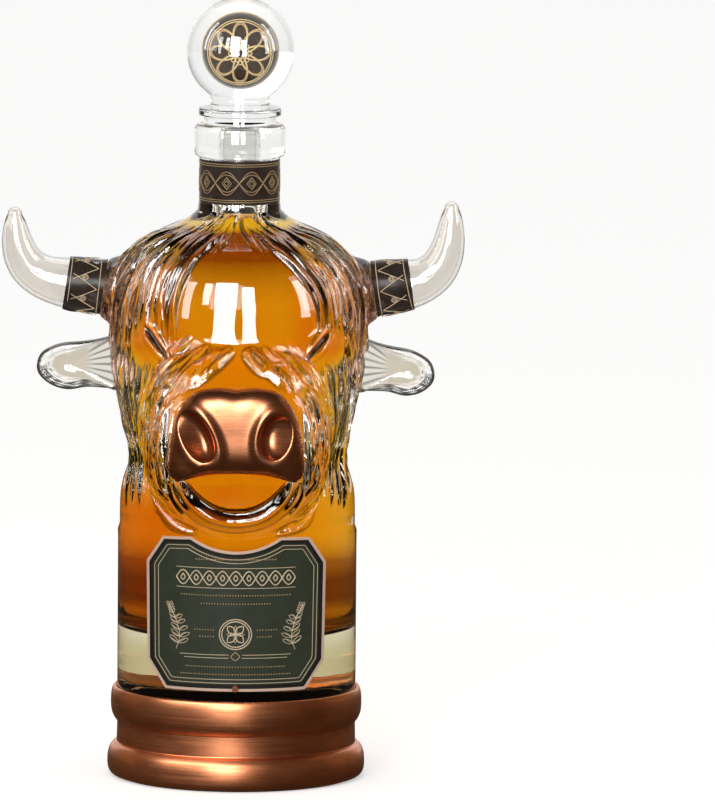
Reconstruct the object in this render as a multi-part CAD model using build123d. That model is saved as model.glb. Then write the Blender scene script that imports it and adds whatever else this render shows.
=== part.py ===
"""Figural liquor decanter: a heavy-bottomed glass bottle whose upper half is a long-haired ox head.

The glass stands in a spun copper base. Solid glass horns and ears are fused to the head, the horns
behind printed bands. A cast copper nose is bonded over the mouth, and a ball stopper closes the neck.
Frame: +Z up, the face looks along -Y, and the origin is where the axis meets the surface it stands on.
Left and right are as seen from the front. All lengths are in millimetres.
"""

import math
import os

from build123d import *

# Base: a spun copper shell over a turned block, between two felt pads
base_height = 34.5
base_overhang = 3.6
foot_height = 12.2
cove_height = 8.6
cove_depth = 3.6
collar_step = 1.3
base_round = 2.0
foot_round = 4.0
base_wall = 1.2
recess_depth = 5.0
recess_clearance = 0.12
seat_pad_thickness = 0.9
foot_pad_thickness = 1.6
foot_pad_proud = 0.4
core_clearance = 0.1

# Glass body under the head
body_radius = 45.6
body_height = 75.6
body_bottom_round = 3.0
floor_thickness = 27.5
cavity_floor_round = 20.0
body_wall = 4.3

# Glass head: side, front and back reach at the waist and at the brow
head_height = 114.5
waist_side = 40.6
waist_front = 43.6
waist_back = 42.4
brow_side = 49.4
brow_front = 47.2
brow_back = 45.6
head_wall = 5.0
crown_extra = 5.0

# Neck and lip
neck_radius = 15.0
neck_height = 18.0
lip_radius = 17.3
lip_height = 12.6
lip_round = 2.0
bore_radius = 8.0

# Muzzle, mouth and lower lip
muzzle_reach = 62.5
muzzle_half_width = 34.0
muzzle_height = 76.0
muzzle_drop = 5.0
muzzle_wall = 9.0
muzzle_side_wall = 5.5
mouth_half_width = 18.0
mouth_height = 9.5
mouth_arch = 3.4
mouth_depth = 4.0
mouth_gap = 0.6
lip_roll_radius = 2.6
lip_roll_drop = 2.4

# Nose
nose_half_width = 25.6
nose_height = 35.5
nose_thickness = 8.0
nose_wrap = 8.0
nose_bottom_rise = 16.0
nostril_offset = 15.1
nostril_rise = 17.6
nostril_half_width = 5.4
nostril_half_height = 7.8
nostril_depth = 6.2
nostril_sink = 1.4
nostril_tilt = 14.0
wing_proud = 0.7
wing_half_width = 8.4
wing_half_thickness = 4.6
wing_half_height = 10.6

# Eyes and brows
eye_offset = 33.0
eye_rise = 61.5
eye_half_length = 9.0
eye_half_width = 2.6
eye_depth = 2.4
brow_lift = 5.0
brow_half_length = 11.0
brow_half_width = 2.6
brow_half_thickness = 3.0
brow_sink = 1.2
eye_turn = 40.0
eye_tilt = 42.0

# Horns, their sockets and their bands
horn_radius = 10.5
horn_out = 51.4
horn_rise = 82.0
horn_slope = 8.5
horn_reach_left = 34.2
horn_reach_right = 29.6
horn_lift_left = 30.2
horn_lift_right = 33.8
horn_lean = 5.0
socket_flare = 3.6
socket_lip = 0.9
socket_length = 8.0
horn_band_thickness = 0.4
horn_band_length = 14.4

# Ears
ear_root = 40.0
ear_reach_left = 77.0
ear_reach_right = 75.0
ear_half_height = 9.3
ear_root_half_height = 12.5
ear_half_thickness = 4.6
ear_rise = 52.3
ear_droop_left = 0.6
ear_droop_right = 3.0
ear_dish_depth = 2.6
ear_dish_half_length = 8.5
ear_dish_half_height = 5.2

# Hair locks
lock_half_width = 2.7
lock_proud = 1.3
lock_bond = 0.2

# Neck band
neck_band_height = 16.6
neck_band_thickness = 0.3
neck_band_gap = 0.8

# Label, measured across its front
label_half_width = 34.0
label_lift = 4.2
label_headroom = 7.8
label_dip = 5.2
label_thickness = 0.3
label_rim_thickness = 0.6
label_rim_width = 1.0
label_pin_radius = 1.2
label_pin_height = 1.6

# Stopper
globe_radius = 20.4
collar_radius = 11.4
collar_height = 4.8
flange_radius = 15.7
flange_height = 5.8
flange_taper = 2.0
seat_gap = 0.3
core_radius = 9.6
shank_radius = 6.4
shank_length = 21.0
seal_clearance = 0.15
seal_length = 15.0
seal_lead = 2.5
seal_rib_height = 0.45
seal_ribs = 4
fit_gap = 0.03
cut_overrun = 5.0

# Sizes and levels that the ones above give
base_radius = body_radius + base_overhang
glass_bottom = base_height - recess_depth
cavity_floor = glass_bottom + floor_thickness
head_root = glass_bottom + body_height
label_height = head_root - label_headroom - base_height - label_lift
neck_root = head_root + head_height
lip_level = neck_root + neck_height
lip_top = lip_level + lip_height
muzzle_bottom = head_root - muzzle_drop
nose_bottom = head_root + nose_bottom_rise

# Head sections. First share: of the head's height. Second: of the way out, from the waist to the body,
# then from the waist to the brow, then from the neck to the brow
shoulder_shares = ((0.0, 1.0), (0.06, 0.88), (0.115, 0.38), (0.175, 0.0))
cheek_shares = ((0.255, 0.15), (0.36, 0.46), (0.465, 0.83), (0.57, 1.0))
crown_shares = (
    (0.675, 0.985),
    (0.77, 0.915),
    (0.84, 0.775),
    (0.89, 0.56),
    (0.93, 0.28),
    (0.965, 0.075),
    (1.0, 0.0),
)

# Muzzle sections: shares of its reach, its half width, and its height at the underside and at the top
muzzle_shares = (
    (0.32, 1.00, 0.00, 1.00),
    (0.66, 0.98, 0.00, 0.955),
    (0.83, 0.94, 0.015, 0.875),
    (0.94, 0.87, 0.050, 0.795),
    (1.00, 0.78, 0.105, 0.730),
)

# Nose outline: shares of its half width and of its height
nose_shares = (
    (0.0, 0.985),
    (0.32, 1.0),
    (0.66, 0.93),
    (0.88, 0.70),
    (0.98, 0.38),
    (1.0, 0.10),
    (0.88, -0.01),
)
# Nose crown: shares of its thickness and of its outline
nose_crown_shares = ((0.0, 1.0), (0.34, 0.98), (0.62, 0.92), (0.83, 0.81), (0.95, 0.65), (1.0, 0.42))

# Horn centre line and radius: shares of its reach, its lift and its root radius
horn_shares = (
    (0.00, 0.000, 1.00),
    (0.25, 0.032, 0.96),
    (0.48, 0.068, 0.89),
    (0.67, 0.130, 0.80),
    (0.82, 0.240, 0.73),
    (0.915, 0.395, 0.66),
    (0.965, 0.570, 0.57),
    (0.985, 0.720, 0.48),
    (0.993, 0.845, 0.38),
    (0.995, 0.935, 0.26),
)

# Ear sections past its root: shares of its length, its half height and its half thickness
ear_shares = (
    (0.33, 0.99, 1.00),
    (0.54, 0.97, 0.92),
    (0.71, 0.92, 0.82),
    (0.87, 0.72, 0.64),
    (0.96, 0.42, 0.42),
    (1.00, 0.12, 0.12),
)

# Hair locks of one side: places down each lock, as shares of the half turn from the front to the back
# and of the head's height
lock_shares = (
    ((0.05, 0.92), (0.15, 0.84), (0.23, 0.64)),
    ((0.13, 0.93), (0.24, 0.83), (0.285, 0.58)),
    ((0.22, 0.93), (0.32, 0.82), (0.335, 0.54)),
    ((0.31, 0.925), (0.365, 0.85), (0.372, 0.61)),
    ((0.67, 0.925), (0.635, 0.84), (0.63, 0.61)),
    ((0.77, 0.93), (0.725, 0.80), (0.71, 0.54)),
    ((0.87, 0.93), (0.84, 0.76), (0.80, 0.48)),
    ((0.96, 0.92), (0.94, 0.74), (0.91, 0.50)),
    ((0.325, 0.48), (0.32, 0.30), (0.31, 0.10)),
    ((0.37, 0.50), (0.367, 0.29), (0.36, 0.06)),
    ((0.415, 0.56), (0.413, 0.30), (0.405, 0.08)),
    ((0.462, 0.33), (0.46, 0.20), (0.45, 0.03)),
    ((0.52, 0.32), (0.51, 0.19), (0.50, 0.05)),
    ((0.59, 0.53), (0.58, 0.30), (0.57, 0.03)),
    ((0.66, 0.47), (0.65, 0.28), (0.64, 0.06)),
    ((0.745, 0.47), (0.725, 0.26), (0.71, 0.03)),
    ((0.82, 0.40), (0.80, 0.23), (0.785, 0.05)),
    ((0.89, 0.43), (0.87, 0.24), (0.86, 0.03)),
    ((0.955, 0.44), (0.945, 0.26), (0.935, 0.06)),
    ((0.10, 0.55), (0.160, 0.42), (0.180, 0.24), (0.165, 0.05)),
    ((0.17, 0.52), (0.215, 0.42), (0.228, 0.25), (0.205, 0.04)),
)
# Width and thickness along a lock
lock_taper_shares = (0.12, 0.62, 0.92, 1.0, 0.86, 0.55, 0.10)

# Label outline, right half: shares of its half width and of its height
label_shares = ((0.50, 1.00), (0.82, 0.99), (1.00, 0.82), (0.985, 0.18), (0.78, 0.0))

side_signs = {"left": -1, "right": 1}


def rod(radius, bottom, top):
    """An upright cylinder on the axis between two levels."""
    return Pos(0, 0, bottom) * Cylinder(radius, top - bottom, align=(Align.CENTER, Align.CENTER, Align.MIN))


def ellipsoid(half_x, half_y, half_z):
    """A ball stretched to three half sizes."""
    return scale(Sphere(1), by=(half_x, half_y, half_z))


def facing(depth):
    """A sketch plane across the face, at a depth in front of the axis: its X is +X and its Y is +Z."""
    return Plane(origin=(0, -depth, 0), x_dir=(1, 0, 0), z_dir=(0, -1, 0))


def squared_oval(half_width, half_height, squareness=2.6, steps=8):
    """The face of a slightly squared oval, from two mirrored halves."""
    right = []
    for index in range(steps + 1):
        turn = math.pi * (index / steps - 1 / 2)
        across, up = max(0, math.cos(turn)), math.sin(turn)
        y = half_height * math.copysign(abs(up) ** (2 / squareness), up)
        right.append((half_width * across ** (2 / squareness), y))
    left = [(-x, y) for x, y in right]
    halves = [Spline(*right, tangents=[(1, 0), (-1, 0)]), Spline(*left, tangents=[(-1, 0), (1, 0)])]
    return make_face(Curve() + halves)


def head_rows(inset, drop, throat):
    """The level and the side, front and back reach of each head section, from the body to the neck."""
    waists = (waist_side, waist_front, waist_back)
    brows = (brow_side, brow_front, brow_back)
    rows = []
    for rise_share, out_share in shoulder_shares:
        rows.append((rise_share, [waist + (body_radius - waist) * out_share - inset for waist in waists]))
    for rise_share, out_share in cheek_shares:
        reaches = [waist + (brow - waist) * out_share - inset for waist, brow in zip(waists, brows)]
        rows.append((rise_share, reaches))
    for rise_share, out_share in crown_shares:
        rows.append((rise_share, [throat + (brow - inset - throat) * out_share for brow in brows]))
    return [(head_root + (head_height - drop) * rise_share, reaches) for rise_share, reaches in rows]


def head_form(inset=0.0, drop=0.0, throat=neck_radius):
    """The head without its muzzle: each section is a front and a back half ellipse of one width."""
    sections = []
    for level, (side, front, back) in head_rows(inset, drop, throat):
        front_half = EllipticalCenterArc((0, 0), side, front, 180, arc_size=180)
        back_half = EllipticalCenterArc((0, 0), side, back, 0, arc_size=180)
        sections.append(Plane.XY.offset(level) * make_face(Curve() + [front_half, back_half]))
    return loft(sections)


def muzzle_form(side_inset=0.0, front_inset=0.0):
    """The muzzle, lofted forwards out of the face, with a nearly level underside."""
    sections = []
    for reach_share, width_share, under_share, top_share in muzzle_shares:
        bottom = muzzle_bottom + muzzle_height * under_share + side_inset
        top = muzzle_bottom + muzzle_height * top_share - side_inset
        half_width = muzzle_half_width * width_share - side_inset
        depth = (muzzle_reach - front_inset) * reach_share
        outline = squared_oval(half_width, (top - bottom) / 2)
        sections.append(facing(depth) * Pos(0, (bottom + top) / 2) * outline)
    return loft(sections)


def socket_form(sign):
    """The flared glass socket that carries a horn, ending square to the horn's root."""
    end = horn_plane(sign)
    flare = Cone(
        horn_radius + socket_lip + socket_flare,
        horn_radius + socket_lip,
        socket_length,
        align=(Align.CENTER, Align.CENTER, Align.MAX),
    )
    return end * flare


def horn_plane(sign):
    """The plane across a horn's root: its Z runs outwards along the horn."""
    slope = math.radians(horn_slope)
    outwards = (sign * math.cos(slope), 0, math.sin(slope))
    return Plane(origin=(sign * horn_out, 0, head_root + horn_rise), x_dir=(0, 1, 0), z_dir=outwards)


def glass_inside():
    """The space for the drink: round-bottomed chamber, head, muzzle and neck bore."""
    chamber = rod(body_radius - body_wall, cavity_floor, head_root)
    chamber = fillet(chamber.edges().sort_by(Axis.Z)[0], cavity_floor_round)
    head = head_form(head_wall, crown_extra, bore_radius)
    muzzle = muzzle_form(muzzle_side_wall, muzzle_wall)
    bore = rod(bore_radius, neck_root - crown_extra, lip_top + cut_overrun)
    return chamber + [head, muzzle, bore]


def mouth_curve(drop):
    """The lower edge of the mouth in the face plane, moved down by a drop."""
    top = nose_bottom - mouth_gap
    return ThreePointArc(
        (-mouth_half_width, top),
        (0, top - mouth_height - drop),
        (mouth_half_width, top),
    )


def mouth_pocket():
    """The open mouth: a crescent under the arched edge of the nose."""
    top = nose_bottom - mouth_gap
    upper = ThreePointArc((-mouth_half_width, top), (0, top + mouth_arch), (mouth_half_width, top))
    crescent = make_face(Curve() + [mouth_curve(0), upper])
    floor = muzzle_reach - mouth_depth
    return extrude(facing(floor) * crescent, mouth_depth + cut_overrun)


def lower_lip():
    """The rolled lower lip, which thins out to the corners of the mouth."""
    path = facing(muzzle_reach - lip_roll_radius / 2) * mouth_curve(lip_roll_drop)
    section = Plane(origin=path @ 0, z_dir=path % 0) * Circle(lip_roll_radius)
    roll = sweep(section, path)
    for end in (0, 1):
        roll += Pos(*(path @ end)) * Sphere(lip_roll_radius)
    return roll


def eye_place(sign, lift=0.0, sink=0.0):
    """A place at the eye, with its Y into the glass and its X along the slanting eye."""
    across = eye_offset / brow_side
    depth = brow_front * math.sqrt(1 - across**2)
    facing_out = Pos(sign * eye_offset, -depth, head_root + eye_rise) * Rot(0, 0, sign * eye_turn)
    return facing_out * Rot(0, -sign * eye_tilt, 0) * Pos(0, sink, lift)


def glass_outside():
    """The outside of the bottle, from its underside to the top of its lip, with the face on it."""
    body = rod(body_radius, glass_bottom, head_root)
    body = fillet(body.edges().sort_by(Axis.Z)[0], body_bottom_round)
    neck = rod(neck_radius, neck_root, lip_level + lip_round)
    lip = rod(lip_radius, lip_level, lip_top)
    lip = fillet(lip.edges().filter_by(GeomType.CIRCLE), lip_round)
    pieces = [head_form(), muzzle_form(), neck, lip, lower_lip()]
    for sign in side_signs.values():
        pieces.append(socket_form(sign))
        brow = ellipsoid(brow_half_length, brow_half_thickness, brow_half_width)
        pieces.append(eye_place(sign, brow_lift, brow_sink) * brow)
    return body + pieces


def bottle_glass(outside):
    """The bottle in one piece of glass: hollow, with an open mouth and sunk eyes."""
    eye = ellipsoid(eye_half_length, eye_depth, eye_half_width)
    eyes = [eye_place(sign) * eye for sign in side_signs.values()]
    return outside - [glass_inside(), mouth_pocket()] - eyes


def horn_form(sign, growth=0.0):
    """A horn lofted through round sections, square to its centre line, with a ball at its tip."""
    reach = horn_reach_left if sign < 0 else horn_reach_right
    lift = horn_lift_left if sign < 0 else horn_lift_right
    root = horn_plane(sign)
    points = []
    for reach_share, lift_share, _ in horn_shares:
        step = Vector(sign * reach * reach_share, -horn_lean * lift_share, lift * lift_share)
        points.append(root.origin + step)
    line = Spline(*points, tangents=[root.z_dir, (0, -horn_lean, lift)])
    sections = []
    for point, (_, _, radius_share) in zip(points, horn_shares):
        along = line.tangent_at(line.param_at_point(point))
        square = Plane(origin=point, x_dir=(0, 1, 0), z_dir=along)
        sections.append(square * Circle(horn_radius * radius_share + growth))
    tip_radius = horn_radius * horn_shares[-1][2] + growth
    return loft(sections) + Pos(*points[-1]) * Sphere(tip_radius)


def horn_band(sign, horn):
    """The printed foil band round the root of a horn."""
    reach = Cylinder(horn_radius * 2, horn_band_length, align=(Align.CENTER, Align.CENTER, Align.MIN))
    return (horn_form(sign, horn_band_thickness) & horn_plane(sign) * reach) - horn


def ear(sign, outside):
    """A leaf-shaped glass ear with a dished front, cut to the side of the head."""
    droop = ear_droop_left if sign < 0 else ear_droop_right
    reach = ear_reach_left if sign < 0 else ear_reach_right
    length = reach - ear_root
    root = Plane(origin=(sign * ear_root, 0, head_root + ear_rise), x_dir=(0, 1, 0), z_dir=(sign, 0, 0))
    sections = [root * Ellipse(ear_half_thickness, ear_root_half_height)]
    for length_share, height_share, thickness_share in ear_shares:
        across = sign * (ear_root + length * length_share)
        level = head_root + ear_rise - droop * length_share
        plane = Plane(origin=(across, 0, level), x_dir=(0, 1, 0), z_dir=(sign, 0, 0))
        sections.append(plane * Ellipse(ear_half_thickness * thickness_share, ear_half_height * height_share))
    leaf = loft(sections)
    dish = ellipsoid(ear_dish_half_length, ear_dish_depth, ear_dish_half_height)
    middle = sign * (reach - ear_half_height - ear_half_thickness)
    leaf -= Pos(middle, -ear_half_thickness, head_root + ear_rise - droop * ear_shares[2][0]) * dish
    return leaf - outside


def surface_point(shell, turn_share, rise_share):
    """Where a level ray from the axis leaves the glass, and the way that the glass faces there."""
    turn = math.pi * turn_share
    ray = Axis((0, 0, head_root + head_height * rise_share), (math.sin(turn), -math.cos(turn), 0))
    hits = shell.find_intersection_points(ray)
    point, normal = max(hits, key=lambda hit: (hit[0] - ray.position).dot(ray.direction))
    return point, normal if normal.dot(ray.direction) > 0 else -normal


def hair_lock(shell, places):
    """One applied lock of hair: a tapered half lens that follows the glass through its places."""
    flow = Spline(*places)
    steps = len(lock_taper_shares) - 1
    stops = [flow @ (index / steps) for index in range(steps + 1)]
    hits = [surface_point(shell, stop.X, stop.Y) for stop in stops]
    line = Spline(*[point for point, _ in hits])
    sections = []
    for (point, normal), taper_share in zip(hits, lock_taper_shares):
        along = line.tangent_at(line.param_at_point(point))
        half_width = lock_half_width * taper_share
        arch = EllipticalCenterArc((0, 0), half_width, lock_proud * taper_share, 0, arc_size=180)
        lens = make_face(Curve() + [arch, Line(arch @ 0, arch @ 1)])
        sections.append(Plane(point + normal * lock_bond, x_dir=normal.cross(along), z_dir=along) * lens)
    return loft(sections)


def hair(outside):
    """The hair locks of the right side."""
    shell = outside.shell()
    return Compound([hair_lock(shell, places) for places in lock_shares])


def nose_outline(depth, outline_share):
    """The nose outline on a face plane, drawn in towards its middle by a share."""
    half = [(x * nose_half_width, y * nose_height) for x, y in nose_shares]
    arch = mouth_arch * outline_share
    middle = nose_height / 2
    right = [(x * outline_share, middle + (y - middle) * outline_share) for x, y in half]
    left = [(-x, y) for x, y in reversed(right)]
    upper = Spline(*(left[:-1] + right))
    lower = ThreePointArc(right[-1], (0, right[-1][1] + arch), left[0])
    return facing(depth) * Pos(0, nose_bottom) * make_face(Curve() + [upper, lower])


def nose_cap(outside):
    """The cast nose: a domed pad over the end of the muzzle, with two nostrils in raised wings."""
    sections = [nose_outline(muzzle_reach - nose_wrap, 1.0)]
    for thickness_share, outline_share in nose_crown_shares:
        sections.append(nose_outline(muzzle_reach + nose_thickness * thickness_share, outline_share))
    pad = loft(sections, ruled=False)
    front = muzzle_reach + nose_thickness + wing_proud
    level = nose_bottom + nostril_rise
    hollows = []
    for sign in side_signs.values():
        tilt = Rot(0, sign * nostril_tilt, 0)
        wing = ellipsoid(wing_half_width, wing_half_thickness, wing_half_height)
        pad += Pos(sign * nostril_offset, wing_half_thickness - front, level) * tilt * wing
        hollow = ellipsoid(nostril_half_width, nostril_depth, nostril_half_height)
        hollows.append(Pos(sign * nostril_offset, nostril_sink - front, level) * tilt * hollow)
    return pad - [outside] - hollows


def label_outline(inset=0.0):
    """The label outline in the face plane, measured from the middle of its lower edge."""
    right = [(x * label_half_width, y * label_height) for x, y in label_shares]
    left = [(-x, y) for x, y in right]
    top = ThreePointArc(left[0], (0, label_height - label_dip), right[0])
    edges = [top, Polyline(*right), Line(right[-1], left[-1]), Polyline(*reversed(left))]
    outline = make_face(Curve() + edges)
    return offset(outline, -inset, kind=Kind.INTERSECTION) if inset else outline


def label_sheet(outline, thickness):
    """An outline wrapped round the front of the body as a thin sheet."""
    bottom = base_height + label_lift
    inner = body_radius + fit_gap
    prism = extrude(facing(0) * Pos(0, bottom) * outline, inner + thickness + cut_overrun)
    sleeve = rod(inner + thickness, bottom, bottom + label_height) - rod(inner, bottom, bottom + label_height)
    return sleeve & prism


def base_form(inset=0.0):
    """The base as discs with rounded edges: foot, cove and collar."""
    bottom = foot_pad_proud
    foot = rod(base_radius - inset, bottom, bottom + foot_height - inset)
    foot = fillet(foot.edges().filter_by(GeomType.CIRCLE), foot_round - inset)
    collar_bottom = foot_height + cove_height + inset
    collar = rod(base_radius - collar_step - inset, collar_bottom, base_height)
    collar = fillet(collar.edges().filter_by(GeomType.CIRCLE), base_round - inset / 2)
    cove = rod(base_radius - cove_depth - inset, bottom, base_height - base_round)
    return foot + [cove, collar]


def base_shell():
    """The spun copper base, with the recess that the glass stands in."""
    recess_floor = glass_bottom - seat_pad_thickness
    hollow = base_form(base_wall) & rod(base_radius, foot_pad_proud, recess_floor - base_wall)
    mouth = rod(base_radius - foot_round, 0, foot_pad_thickness)
    recess = rod(body_radius + recess_clearance, recess_floor, base_height + cut_overrun)
    return base_form() - [hollow, mouth, recess]


def base_core():
    """The turned block inside the base."""
    top = glass_bottom - seat_pad_thickness - base_wall
    return rod(base_radius - cove_depth - base_wall - core_clearance, foot_pad_thickness, top)


def seat_pad():
    """The felt disc under the glass."""
    return rod(body_radius - body_bottom_round, glass_bottom - seat_pad_thickness, glass_bottom)


def foot_pad():
    """The felt disc that the decanter stands on."""
    return rod(base_radius - foot_round - core_clearance, 0, foot_pad_thickness)


def neck_band():
    """The printed foil band round the neck."""
    bottom = neck_root + neck_band_gap
    top = bottom + neck_band_height
    inner = neck_radius + fit_gap
    return rod(inner + neck_band_thickness, bottom, top) - rod(inner, bottom, top)


flange_bottom = lip_top + seat_gap
collar_bottom = flange_bottom + flange_height
globe_centre = collar_bottom + collar_height + math.sqrt(globe_radius**2 - collar_radius**2)


def stopper_globe():
    """The glass ball, its collar and its flange, cast in one piece round the core."""
    flange_middle = flange_bottom + flange_height / 2
    flange = rod(flange_radius, flange_middle, collar_bottom)
    flange = fillet(flange.edges().filter_by(GeomType.CIRCLE), flange_taper / 3)
    skirt = rod(flange_radius - flange_taper, flange_bottom, flange_middle + flange_taper)
    collar = rod(collar_radius, collar_bottom - flange_taper, globe_centre)
    ball = Pos(0, 0, globe_centre) * Sphere(globe_radius)
    hollow = Pos(0, 0, globe_centre) * Sphere(core_radius + fit_gap)
    return flange + [skirt, collar, ball] - hollow


def stopper_core():
    """The ornamental ball inside the glass one."""
    return Pos(0, 0, globe_centre) * Sphere(core_radius)


def stopper_plug():
    """The shank that hangs into the neck."""
    shank = rod(shank_radius, flange_bottom - shank_length, flange_bottom)
    return fillet(shank.edges().sort_by(Axis.Z)[0], seal_lead / 2)


def stopper_seal():
    """The ribbed sleeve on the shank that grips the bore."""
    top = flange_bottom - seal_lead
    bottom = top - seal_length
    outer = bore_radius - seal_clearance
    sleeve = rod(outer - seal_rib_height, bottom, top)
    pitch = seal_length / seal_ribs
    for index in range(seal_ribs):
        middle = bottom + pitch * (index + 0.5)
        sleeve += rod(outer, middle - seal_rib_height, middle + seal_rib_height)
    return sleeve - rod(shank_radius + fit_gap, bottom, top)


def label_pin():
    """The small stud under the middle of the label."""
    level = base_height + label_lift
    start = body_radius + fit_gap + label_rim_thickness
    stud = facing(start) * Pos(0, level + label_pin_radius) * Circle(label_pin_radius)
    return extrude(stud, label_pin_height)


outside = glass_outside()
plate_outline = label_outline(label_rim_width + fit_gap)
rim_outline = label_outline() - label_outline(label_rim_width)

parts = {
    "bottle_glass": bottle_glass(outside),
    "nose_cap": nose_cap(outside),
    "neck_band": neck_band(),
    "label_plate": label_sheet(plate_outline, label_thickness),
    "label_rim": label_sheet(rim_outline, label_rim_thickness),
    "label_pin": label_pin(),
    "base_shell": base_shell(),
    "base_core": base_core(),
    "seat_pad": seat_pad(),
    "foot_pad": foot_pad(),
    "stopper_globe": stopper_globe(),
    "stopper_core": stopper_core(),
    "stopper_plug": stopper_plug(),
    "stopper_seal": stopper_seal(),
}
hair_right = hair(outside)
parts["hair_right"] = hair_right
parts["hair_left"] = mirror(hair_right, about=Plane.YZ)
for side, sign in side_signs.items():
    horn = horn_form(sign)
    parts[f"horn_{side}"] = horn
    parts[f"horn_band_{side}"] = horn_band(sign, horn)
    parts[f"ear_{side}"] = ear(sign, outside)

os.makedirs("parts", exist_ok=True)
for name, shape in parts.items():
    export_step(shape, f"parts/{name}.step")
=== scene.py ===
import math
import random

import bmesh
import bpy
import numpy as np
from mathutils import Matrix, Vector
from mathutils.bvhtree import BVHTree


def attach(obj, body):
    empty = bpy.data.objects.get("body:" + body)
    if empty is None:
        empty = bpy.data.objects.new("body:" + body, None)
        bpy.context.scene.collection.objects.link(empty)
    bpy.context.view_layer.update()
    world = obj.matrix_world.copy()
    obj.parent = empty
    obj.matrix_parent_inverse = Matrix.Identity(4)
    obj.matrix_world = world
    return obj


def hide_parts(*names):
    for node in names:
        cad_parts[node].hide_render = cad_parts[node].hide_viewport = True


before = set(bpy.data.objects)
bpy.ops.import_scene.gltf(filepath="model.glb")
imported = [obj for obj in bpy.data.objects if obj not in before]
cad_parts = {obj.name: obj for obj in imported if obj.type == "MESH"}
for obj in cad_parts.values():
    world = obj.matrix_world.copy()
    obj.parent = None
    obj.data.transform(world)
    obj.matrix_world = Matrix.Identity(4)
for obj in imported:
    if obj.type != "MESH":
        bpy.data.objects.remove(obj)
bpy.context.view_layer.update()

mm = 0.001

# Sizes that the scene shares with the CAD part, in metres
glass_bottom = 0.0295
cavity_floor = 0.0570
cavity_floor_round = 0.0070
body_radius = 0.0456
body_wall = 0.0043
body_bottom_round = 0.0030
neck_root = 0.2196
neck_radius = 0.0150
lip_level = 0.2376
lip_top = 0.2502
lip_radius = 0.0173
lip_round = 0.0020
bore_radius = 0.0080
muzzle_reach = 0.0625
nose_bottom = 0.1211
nose_half_width = 0.0256
nose_height = 0.0355
nose_thickness = 0.0069
mouth_arch = 0.0034
nostril_offset = 0.0151
nostril_rise = 0.0176
horn_radius = 0.0105
horn_out = 0.0514
horn_level = 0.1871
horn_slope = 8.5
horn_lean = 0.0050
horn_band_length = 0.0144
horn_band_proud = 0.0004
ear_root = 0.0455
ear_level = 0.1574
ear_half_height = 0.0093
globe_centre = 0.27802
core_radius = 0.0096
label_half_width = 0.0340
label_bottom = 0.0387
label_height = 0.0586
label_dip = 0.0052
label_skin = 0.04593
neck_band_bottom = 0.2204
neck_band_height = 0.0166
neck_band_skin = 0.01533

# The horns' reach and lift on each side, and their centre line and radius as shares of them
horn_reaches = {"left": (0.0341, 0.0302), "right": (0.0295, 0.0338)}
horn_shares = (
    (0.00, 0.000, 1.00),
    (0.25, 0.032, 0.96),
    (0.48, 0.068, 0.89),
    (0.67, 0.130, 0.80),
    (0.82, 0.240, 0.73),
    (0.915, 0.395, 0.66),
    (0.965, 0.570, 0.57),
    (0.985, 0.720, 0.48),
    (0.993, 0.845, 0.38),
    (0.995, 0.935, 0.26),
)
# The ears' reach and droop on each side
ear_reaches = {"left": (0.0768, 0.0006), "right": (0.0748, 0.0030)}
# The ears' outline from the root's top round the tip to its foot, as shares of their length and half height
ear_shares = (
    (0.00, 1.24), (0.12, 1.20), (0.28, 1.09), (0.44, 1.02), (0.68, 0.96), (0.86, 0.76), (0.955, 0.52),
    (1.0, 0.12), (0.985, -0.26), (0.90, -0.60), (0.77, -0.86), (0.60, -0.98), (0.38, -0.88), (0.14, -0.94),
    (0.00, -0.98), (-0.03, 0.10),
)
# The nose's outline, as shares of its half width and of its height
nose_shares = ((0, 0.985), (0.32, 1.0), (0.66, 0.93), (0.88, 0.70), (0.98, 0.38), (1.0, 0.10), (0.88, -0.01))
# The label's outline, right half, as shares of its half width and of its height
label_shares = ((0.50, 1.00), (0.82, 0.99), (1.00, 0.82), (0.985, 0.18), (0.78, 0.0))

# How deep the ears are cupped, half their least thickness, and how far they are moved to the front
ear_cup = 0.0036
ear_thin = 0.0010
ear_forward = 0.0012

# The base's section as radius and level in millimetres: the recess, the outside downwards, and the inside
base_recess = ((20, 28.6), (45.6, 28.6), (45.72, 28.75), (45.72, 31.5), (45.72, 33.9))
base_outside = (
    (
        (45.74, 34.0), (45.98, 34.35), (46.45, 34.5), (46.95, 34.3), (47.35, 33.5), (47.7, 32.0),
        (47.88, 30.0), (47.9, 27.6), (47.72, 25.4), (47.2, 23.5), (46.4, 22.1), (45.7, 21.3),
    ),
    ((45.5, 21.0), (45.5, 19.0), (45.55, 17.0), (45.6, 15.0), (45.62, 13.2)),
    (
        (45.8, 12.95), (46.4, 12.75), (47.3, 12.1), (48.3, 10.7), (48.92, 8.6), (49.14, 6.4),
        (49.1, 4.2), (48.7, 2.3), (47.7, 1.0), (46.4, 0.48), (45.3, 0.42),
    ),
)
base_inside = (
    (45.2, 0.45), (45.2, 1.6), (46.2, 1.8), (47.4, 3.4), (47.9, 6.0), (47.4, 9.2), (46.0, 11.0),
    (44.5, 11.6), (44.4, 20), (44.4, 27.4), (20, 27.4),
)

signs = {"left": -1, "right": 1}

# The mouth is dark with painted shade between two arcs in the face plane: radius and centre level of each
mouth_inner_arc = (0.0213, 0.1315)
mouth_outer_arc = (0.0211, 0.1266)

# Where the rays that feel the head start: level below here, fanned upwards above
head_middle = 0.1860
# How high the drink stands, and how far it sits in the glass
liquor_level = 0.2117
glass_bond = 0.00015
# Where the rays that feel the glass from outside start, how deep the closed eyes are, and a horn's steps
ray_start = 0.12
eye_cut = 0.0015
horn_steps = 80


# Helpers


def add_object(name, data):
    """A new object in the scene."""
    made = bpy.data.objects.new(name, data)
    bpy.context.scene.collection.objects.link(made)
    return made


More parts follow.
